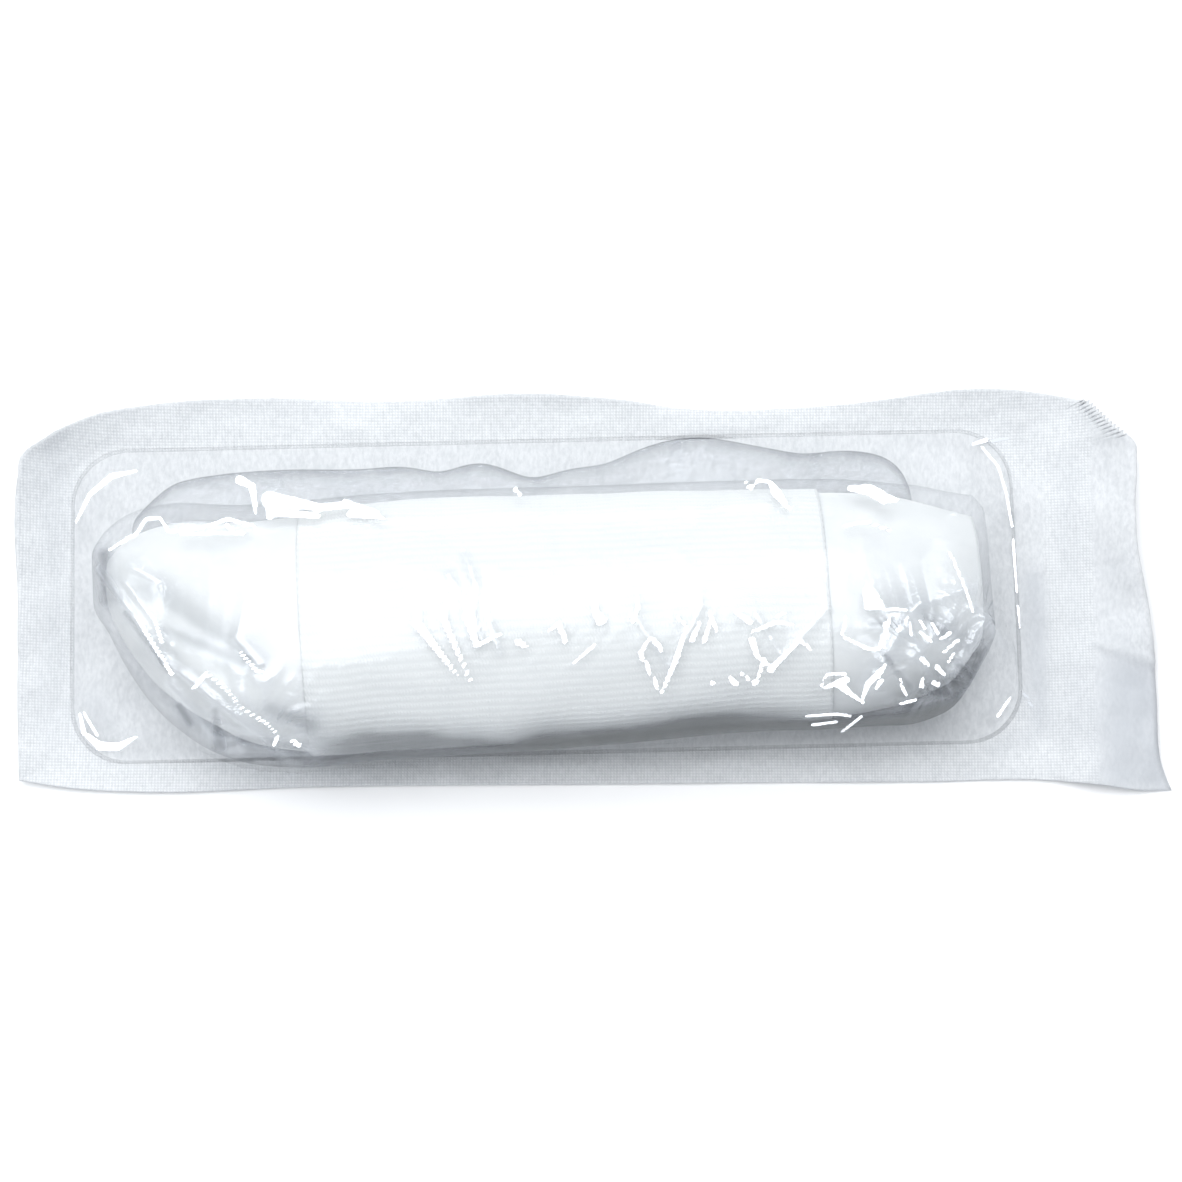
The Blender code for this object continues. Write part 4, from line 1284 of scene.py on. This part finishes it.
@dataclass
class InnerWrap:
    """The loose thin film round the roll, crinkled all over and gathered at both ends, with a skirt behind."""

    # painted shade in the hollows and gaps between the film and the pad, as seen: start right, start up, end
    # right, end up and both half widths
    hollows: ClassVar[Table] = (
        (-97.5, 7.0, -96.4, -1.5, 1.9, 2.1), (-93.2, -4.4, -84.6, -15.9, 0.6, 0.7),
        (-85.3, -7.6, -69.5, -14.2, 1.2, 1.7), (-82.5, -23.0, -80.2, -26.4, 0.8, 1.0),
        (-75.2, -24.0, -74.2, -31.0, 0.8, 1.3), (-64.0, -23.6, -56.0, -26.8, 1.5, 2.0),
        (-70.0, -29.6, -58.0, -31.6, 0.9, 1.4), (68.0, -20.0, 81.0, -22.0, 1.0, 2.0),
        (56.0, -6.5, 62.0, -6.5, 0.7, 1.0), (62.0, -22.5, 67.0, -23.5, 1.0, 1.2),
        (66.0, -20.0, 74.0, -16.5, 0.8, 1.0), (58.0, -12.0, 62.0, -17.0, 0.6, 0.8),
        (67.2, -5.4, 71.0, -8.8, 1.0, 1.2), (60.4, -15.6, 63.6, -19.0, 0.7, 0.9),
        (72.4, -13.8, 76.4, -17.2, 0.8, 1.2),
    )
    # upper edge of the painted shade along the roll's front underside, as seen: right, up, and how dark it is
    belly: ClassVar[Table] = (
        (-60.0, -27.8, 0.35), (-52.2, -27.8, 0.55), (-43.3, -27.0, 0.7), (-34.3, -27.1, 0.7),
        (-25.4, -28.2, 0.7), (-16.5, -29.0, 0.85), (-9.3, -27.6, 1.0), (-2.2, -27.0, 1.0),
        (5.8, -26.6, 1.0), (14.8, -25.0, 1.0),
        (23.7, -23.6, 1.0), (32.6, -23.9, 1.0), (41.6, -24.5, 1.0), (50.5, -24.6, 1.0), (59.4, -23.8, 1.0),
        (68.4, -21.8, 1.0), (74.6, -19.4, 0.95), (79.1, -15.6, 0.85), (84.0, -9.0, 0.7),
    )
    pack: Pack
    form: WrapForm
    crumple: Crumple
    rings: int = 118
    # from where along the pack the front has painted shade, and over which way that grows
    dark_from: float = -52 * MM
    dark_over: float = 14 * MM
    crinkle_from: float = 4 * MM
    crinkle_over: float = 8 * MM
    hollow_share: float = 0.45

    def build(self) -> None:
        """Builds and dresses the wrap."""
        angles = np.radians(np.linspace(-84, 84, self.rings))
        points = smoothed(self.form.points(*self.form.profile(angles)), 12)
        push, crease = self.crumple.at(points)
        x, z = points[..., 0], points[..., 2]
        skirt = self.form.skirt / (4 * MM) * self.form.lobe(angles)[:, None]
        flutter = creases(x / (14 * MM), z / (9 * MM), Seed.FINE) * ease(skirt)
        high = ease((z - self.crinkle_from) / self.crinkle_over)
        upper = ease((angles - math.radians(10)) / math.radians(36))[:, None]
        points = points + ring_normals(points) * (0.8 * push * high * upper)[..., None]
        # painted shade: a dark band along the roll's front underside below the belly table's edge, and dark
        # patches from the hollows table
        front = ease((-self.form.direction[:, 1] - 0.15) / 0.5)
        front = front * ease((x[0] - self.dark_from) / self.dark_over)
        right, up = as_seen(points)
        edge, strength = (column.reshape(right.shape) for column in read_table(self.belly, right.ravel() / MM))
        below = edge + 0.5 * noise(right / (9 * MM), 0 * right, Seed.FINE) - up / MM
        under = ease((math.radians(4) - angles[:, None]) / math.radians(24))
        fading = 0.28 * ease((below + 4.5) / 6.5) + 0.72 * ease((below + 0.2) / 2.6)
        belly_shade = np.maximum(fading, under) * front * strength
        streak = creases(x / (24 * MM), (points[..., 1] + z) / (2.6 * MM), Seed.END)
        tip = np.exp(-(((angles - self.form.skirt_angle) / math.radians(3.5)) ** 2))[:, None]
        hollow = self.hollow_share * streaks(right, up, self.hollows)
        on_skirt = ease(self.form.skirt / (3 * MM))
        numbers = {
            "crease": np.clip(crease + 0.5 * flutter**3, 0, 1),
            "bunch": np.maximum(belly_shade * (0.75 + 0.25 * streak), hollow),
            "fold": on_skirt * tip,
            "skirt": on_skirt * ease(self.form.lobe(angles)[:, None] * 1.6),
        }
        finish = FilmFinish(
            "wrap_film", body=0.02, outline=0.30, crease=0.22, roughness=0.16, metal=0.45, crinkle=0.35,
            crinkle_scale=220.0,
        )
        wrap = add_piece("inner_wrap_film", points, self.pack.ring_faces(self.rings), finish.build(), numbers)
        carry(wrap, Slot.WRAP, "inner_wrap")


@dataclass
class WoundStrip:
    """A strip wound round the roll's axis, as stations along the roll by turns round it."""

    roll: Roll
    segments: int = 144
    wave: float = 0.45 * MM
    wave_cell: float = 16 * MM
    # radius at which the strip's length is measured for its threads
    thread_radius: float = 21 * MM
    # start x, start y, end x, end y, half width, depth, all in millimetres
    dents: Table = (
        (-83, -8, -65, -22, 3.6, -5.0),
        (-86, -20, -74, -30, 3.5, -2.2),
        (60, -12, 74, -20, 4.5, -4.0),
        (66, -24, 72, -26, 4.0, -1.8),
        (-70, 12, -58, 10, 5.0, -0.8),
    )

    def turns(self, first: float, last: float) -> Array:
        """Places from one number of turns to another."""
        return np.linspace(first, last, int((last - first) * self.segments) + 1)

    def flat_length(self, points: Array) -> float:
        """The strip's length unrolled: half the way round its section's outline, at the middle station."""
        section = points[len(points) // 2]
        length = float(np.linalg.norm(np.diff(section, axis=0), axis=1).sum()) / 2
        log.info("flat length %.4f m", length)
        return length

    def strip(
        self, shares: Array, turns: Array, inner: tuple[Array, Array], outer: tuple[Array, Array], start: float
    ) -> tuple[Array, list, dict[str, Array]]:
        """Grid of a closed strip: outer face forward, then inner face back, at each station.

        A point lies at the section's half width times cosine and half height times sine, scaled and pushed out
        as the face says. Dents push the layers near the surface in.

        Args:
            shares: stations along the pad.
            turns: places round the roll.
            inner: scale and added distance of the inner face at those places.
            outer: the same for the outer face.
            start: angle of the first place.

        Returns:
            Points, faces, and the attributes wide and long, in metres along the roll and along the strip.
        """
        half_width, half_height, shift, centre = (v[:, None] for v in self.roll.section(shares))
        angle = (start + 2 * math.pi * turns)[None]
        faces_points = []
        for scale, added in (outer, inner):
            sideways = (half_width * scale + added) * np.cos(angle)
            height = (half_height * scale + added) * np.sin(angle)
            flat = self.roll.place(shares[:, None] + 0 * sideways, shift + sideways)
            depth = fold_lines(flat[..., 0], flat[..., 1], self.dents) * ease(np.sin(angle) * 2 + 0.6)
            wave = noise(flat[..., 0] / self.wave_cell, angle * 2.2 + 0 * height, Seed.PAD) * self.wave
            push = (depth + wave) * ease((scale - 0.35) / 0.5)
            sideways, height = sideways + push * np.cos(angle), height + push * np.sin(angle)
            flat = self.roll.place(shares[:, None] + 0 * sideways, shift + sideways)
            faces_points.append(np.concatenate([flat, (centre + height)[..., None]], 2))
        points = np.concatenate([faces_points[0], faces_points[1][:, ::-1]], 1)
        size, steps, count = 2 * len(turns), len(turns) - 1, len(shares)
        around = np.arange(size)
        after = (around + 1) % size
        low = np.arange(count - 1)[:, None] * size
        quads = np.stack([low + around, low + after, low + size + after, low + size + around], 2)
        i = np.arange(steps)
        last = (count - 1) * size
        near = np.stack([i, size - 1 - i, size - 2 - i, i + 1], 1)
        far = np.stack([last + i, last + i + 1, last + size - 2 - i, last + size - 1 - i], 1)
        faces = np.concatenate([quads.reshape(-1, 4), near, far]).tolist()
        way = 2 * math.pi * turns * self.thread_radius
        long = np.broadcast_to(np.concatenate([way, way[::-1]]), (count, size))
        wide = np.broadcast_to((shares * self.roll.pack.pad_length)[:, None], (count, size))
        return points, faces, {"wide": wide, "long": long}


@dataclass
class WoundPad(WoundStrip):
    """The thick absorbent pad, wound twice round the rolled bandage."""

    thickness: float = 5.0 * MM
    gap: float = 0.3 * MM
    turn_count: float = 2.0
    stations: int = 130
    segments: int = 130

    def layer(self, turns: Array) -> Array:
        """How many layers lie over the pad's face, counted in turns from its outer end."""
        return np.where(turns < 1, 0, np.floor(turns) - 1 + ease((turns % 1) / 0.25))

    def build(self) -> None:
        """Builds and dresses the pad."""
        pitch = (self.thickness + self.gap) / (self.roll.pack.roll_width / 2)
        turns = self.turns(1 / 12, self.turn_count)
        outer = (1 - pitch * self.layer(turns), 0 * turns)
        inner = (1 - pitch * self.layer(turns + 1), 0 * turns + self.gap)
        t = np.linspace(0, 1, self.stations)
        shares = 0.5 * t + 0.5 * (1 - np.cos(math.pi * t)) / 2
        points, faces, numbers = self.strip(shares, turns, inner, outer, 2 * math.pi * 14 / 24)
        pad = add_piece("absorbent_pad", points, faces, PadFinish().build(), numbers)
        carry(pad, Slot.PAD, "wound_pad")


@dataclass
class BandageTurns(WoundStrip):
    """The bandage's outer turn round the pad, with its end lapped over its start."""

    width: float = 100.0 * MM
    offset: float = 3.8 * MM
    thickness: float = 0.6 * MM
    gap: float = 0.12 * MM
    turn_count: float = 1.2
    stations: int = 150
    segments: int = 200

    def build(self) -> None:
        """Builds and dresses the bandage's outer turn."""
        turns = self.turns(0, self.turn_count)
        climb = ease((turns - 0.86) / 0.12) * (self.thickness + self.gap)
        inner = (1 + 0 * turns, self.gap + climb)
        outer = (1 + 0 * turns, self.gap + self.thickness + climb)
        length = self.roll.pack.pad_length
        shares = 0.5 + self.offset / length + np.linspace(-0.5, 0.5, self.stations) * self.width / length
        points, faces, numbers = self.strip(shares, turns, inner, outer, 2 * math.pi * 17 / 24)
        turn = add_piece("bandage_outer_turn", points, faces, CrepeFinish().build(), numbers)
        self.flat_length(points)
        carry(turn, Slot.GAUZE, "bandage_turns")


@dataclass
class BandageCore(WoundStrip):
    """The rest of the bandage, rolled up inside the pad."""

    width: float = 100.0 * MM
    offset: float = 3.8 * MM
    layer: float = 2.2 * MM
    gap: float = 0.3 * MM
    turn_count: float = 4.5
    pad_turns: int = 2
    pad_layer: float = 5.3 * MM
    stations: int = 20
    segments: int = 64

    def build(self) -> None:
        """Builds and dresses the core."""
        half_width = self.roll.pack.roll_width / 2
        face = 1 - self.pad_turns * self.pad_layer / half_width
        pitch = (self.layer + self.gap) / half_width
        turns = self.turns(0, self.turn_count)
        fit = min(1.0, 0.9 * face / (pitch * (self.turn_count + 1)))
        scale = face - pitch * fit * turns
        outer = (scale, 0 * turns - self.gap)
        inner = (scale - pitch * fit, 0 * turns)
        length = self.roll.pack.pad_length
        shares = 0.5 + self.offset / length + np.linspace(-0.5, 0.5, self.stations) * self.width / length
        points, faces, numbers = self.strip(shares, turns, inner, outer, 2 * math.pi * 2 / 24)
        core = add_piece("bandage_core_roll", points, faces, CrepeFinish().build(), numbers)
        self.flat_length(points)
        carry(core, Slot.GAUZE, "bandage_core")


@dataclass
class Studio:
    """Floor, light and camera at the photograph's angle."""

    elevation: float = VIEW_ELEVATION
    distance: float = VIEW_DISTANCE
    view_width: float = 0.2364
    floor_height: float = -0.3 * MM

    def floor(self) -> None:
        """A plain floor just under the pack."""
        corners = np.array([(x, y, self.floor_height) for x, y in ((-2, -2), (2, -2), (2, 2), (-2, 2))])
        add_piece("studio_floor", corners, [(0, 1, 2, 3)], FloorFinish().build())

    def lamp(self, name: str, place: tuple, size: tuple, power: float) -> None:
        """A soft white rectangular lamp that looks at the origin."""
        data = bpy.data.lights.new(name, "AREA")
        data.shape, data.size, data.size_y, data.energy = "RECTANGLE", size[0], size[1], power
        lamp = bpy.data.objects.new(name, data)
        lamp.location = place
        lamp.rotation_euler = (-Vector(place)).to_track_quat("-Z", "Y").to_euler()
        bpy.context.scene.collection.objects.link(lamp)

    def world(self) -> None:
        """A pale surround, bright above and behind, darker in front near the horizon."""
        world = bpy.data.worlds.new("surround")
        world.use_nodes = True
        tree = world.node_tree
        way = tree.nodes.new("ShaderNodeTexCoord").outputs["Generated"]
        lean = tree.nodes.new("ShaderNodeVectorMath")
        lean.operation = "DOT_PRODUCT"
        lean.inputs[1].default_value = (0.0, 0.55, 0.83)
        tree.links.new(way, lean.inputs[0])
        ramp = tree.nodes.new("ShaderNodeValToRGB")
        dark, bright = ramp.color_ramp.elements
        dark.position, dark.color = 0.05, (0.46, 0.48, 0.52, 1)
        bright.position, bright.color = 0.95, (0.94, 0.97, 1.0, 1)
        tree.links.new(lean.outputs["Value"], ramp.inputs[0])
        back = tree.nodes["Background"]
        tree.links.new(ramp.outputs[0], back.inputs["Color"])
        back.inputs["Strength"].default_value = 0.85
        bpy.context.scene.world = world

    def camera(self) -> None:
        """The camera, whose view is as wide as the photograph's on the plane that the pack lies on."""
        data = bpy.data.cameras.new("camera")
        data.sensor_fit = "HORIZONTAL"
        data.angle = 2 * math.atan(self.view_width / 2 / self.distance)
        data.clip_start, data.clip_end = 0.01, 20
        camera = bpy.data.objects.new("camera", data)
        back, up = self.distance * math.cos(self.elevation), self.distance * math.sin(self.elevation)
        camera.location = (0, -back, up)
        camera.rotation_euler = (math.pi / 2 - self.elevation, 0, 0)
        bpy.context.scene.collection.objects.link(camera)
        bpy.context.scene.camera = camera

    def build(self) -> None:
        """Sets the stage."""
        self.floor()
        self.lamp("key", (-0.12, 0.10, 1.15), (1.0, 0.8), 11.2)
        self.lamp("strip", (-0.25, 1.00, 0.28), (0.6, 0.05), 1.6)
        self.world()
        self.camera()
        bpy.context.scene.view_settings.view_transform = "Standard"


def main() -> None:
    """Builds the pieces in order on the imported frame, and sets the stage."""
    logging.basicConfig(level=logging.INFO, format="%(name)s: %(message)s")
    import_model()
    pack = Pack()
    roll = Roll(pack)
    form = WrapForm(pack, roll)
    crumple = Crumple(roll)
    BandageCore(roll).build()
    WoundPad(roll).build()
    BandageTurns(roll).build()
    InnerWrap(pack, form, crumple).build()
    paper = PaperWeb(pack)
    paper.build()
    PackFilm(pack, form, crumple, paper).build()
    Studio().build()


if __name__ == "__main__":
    main()
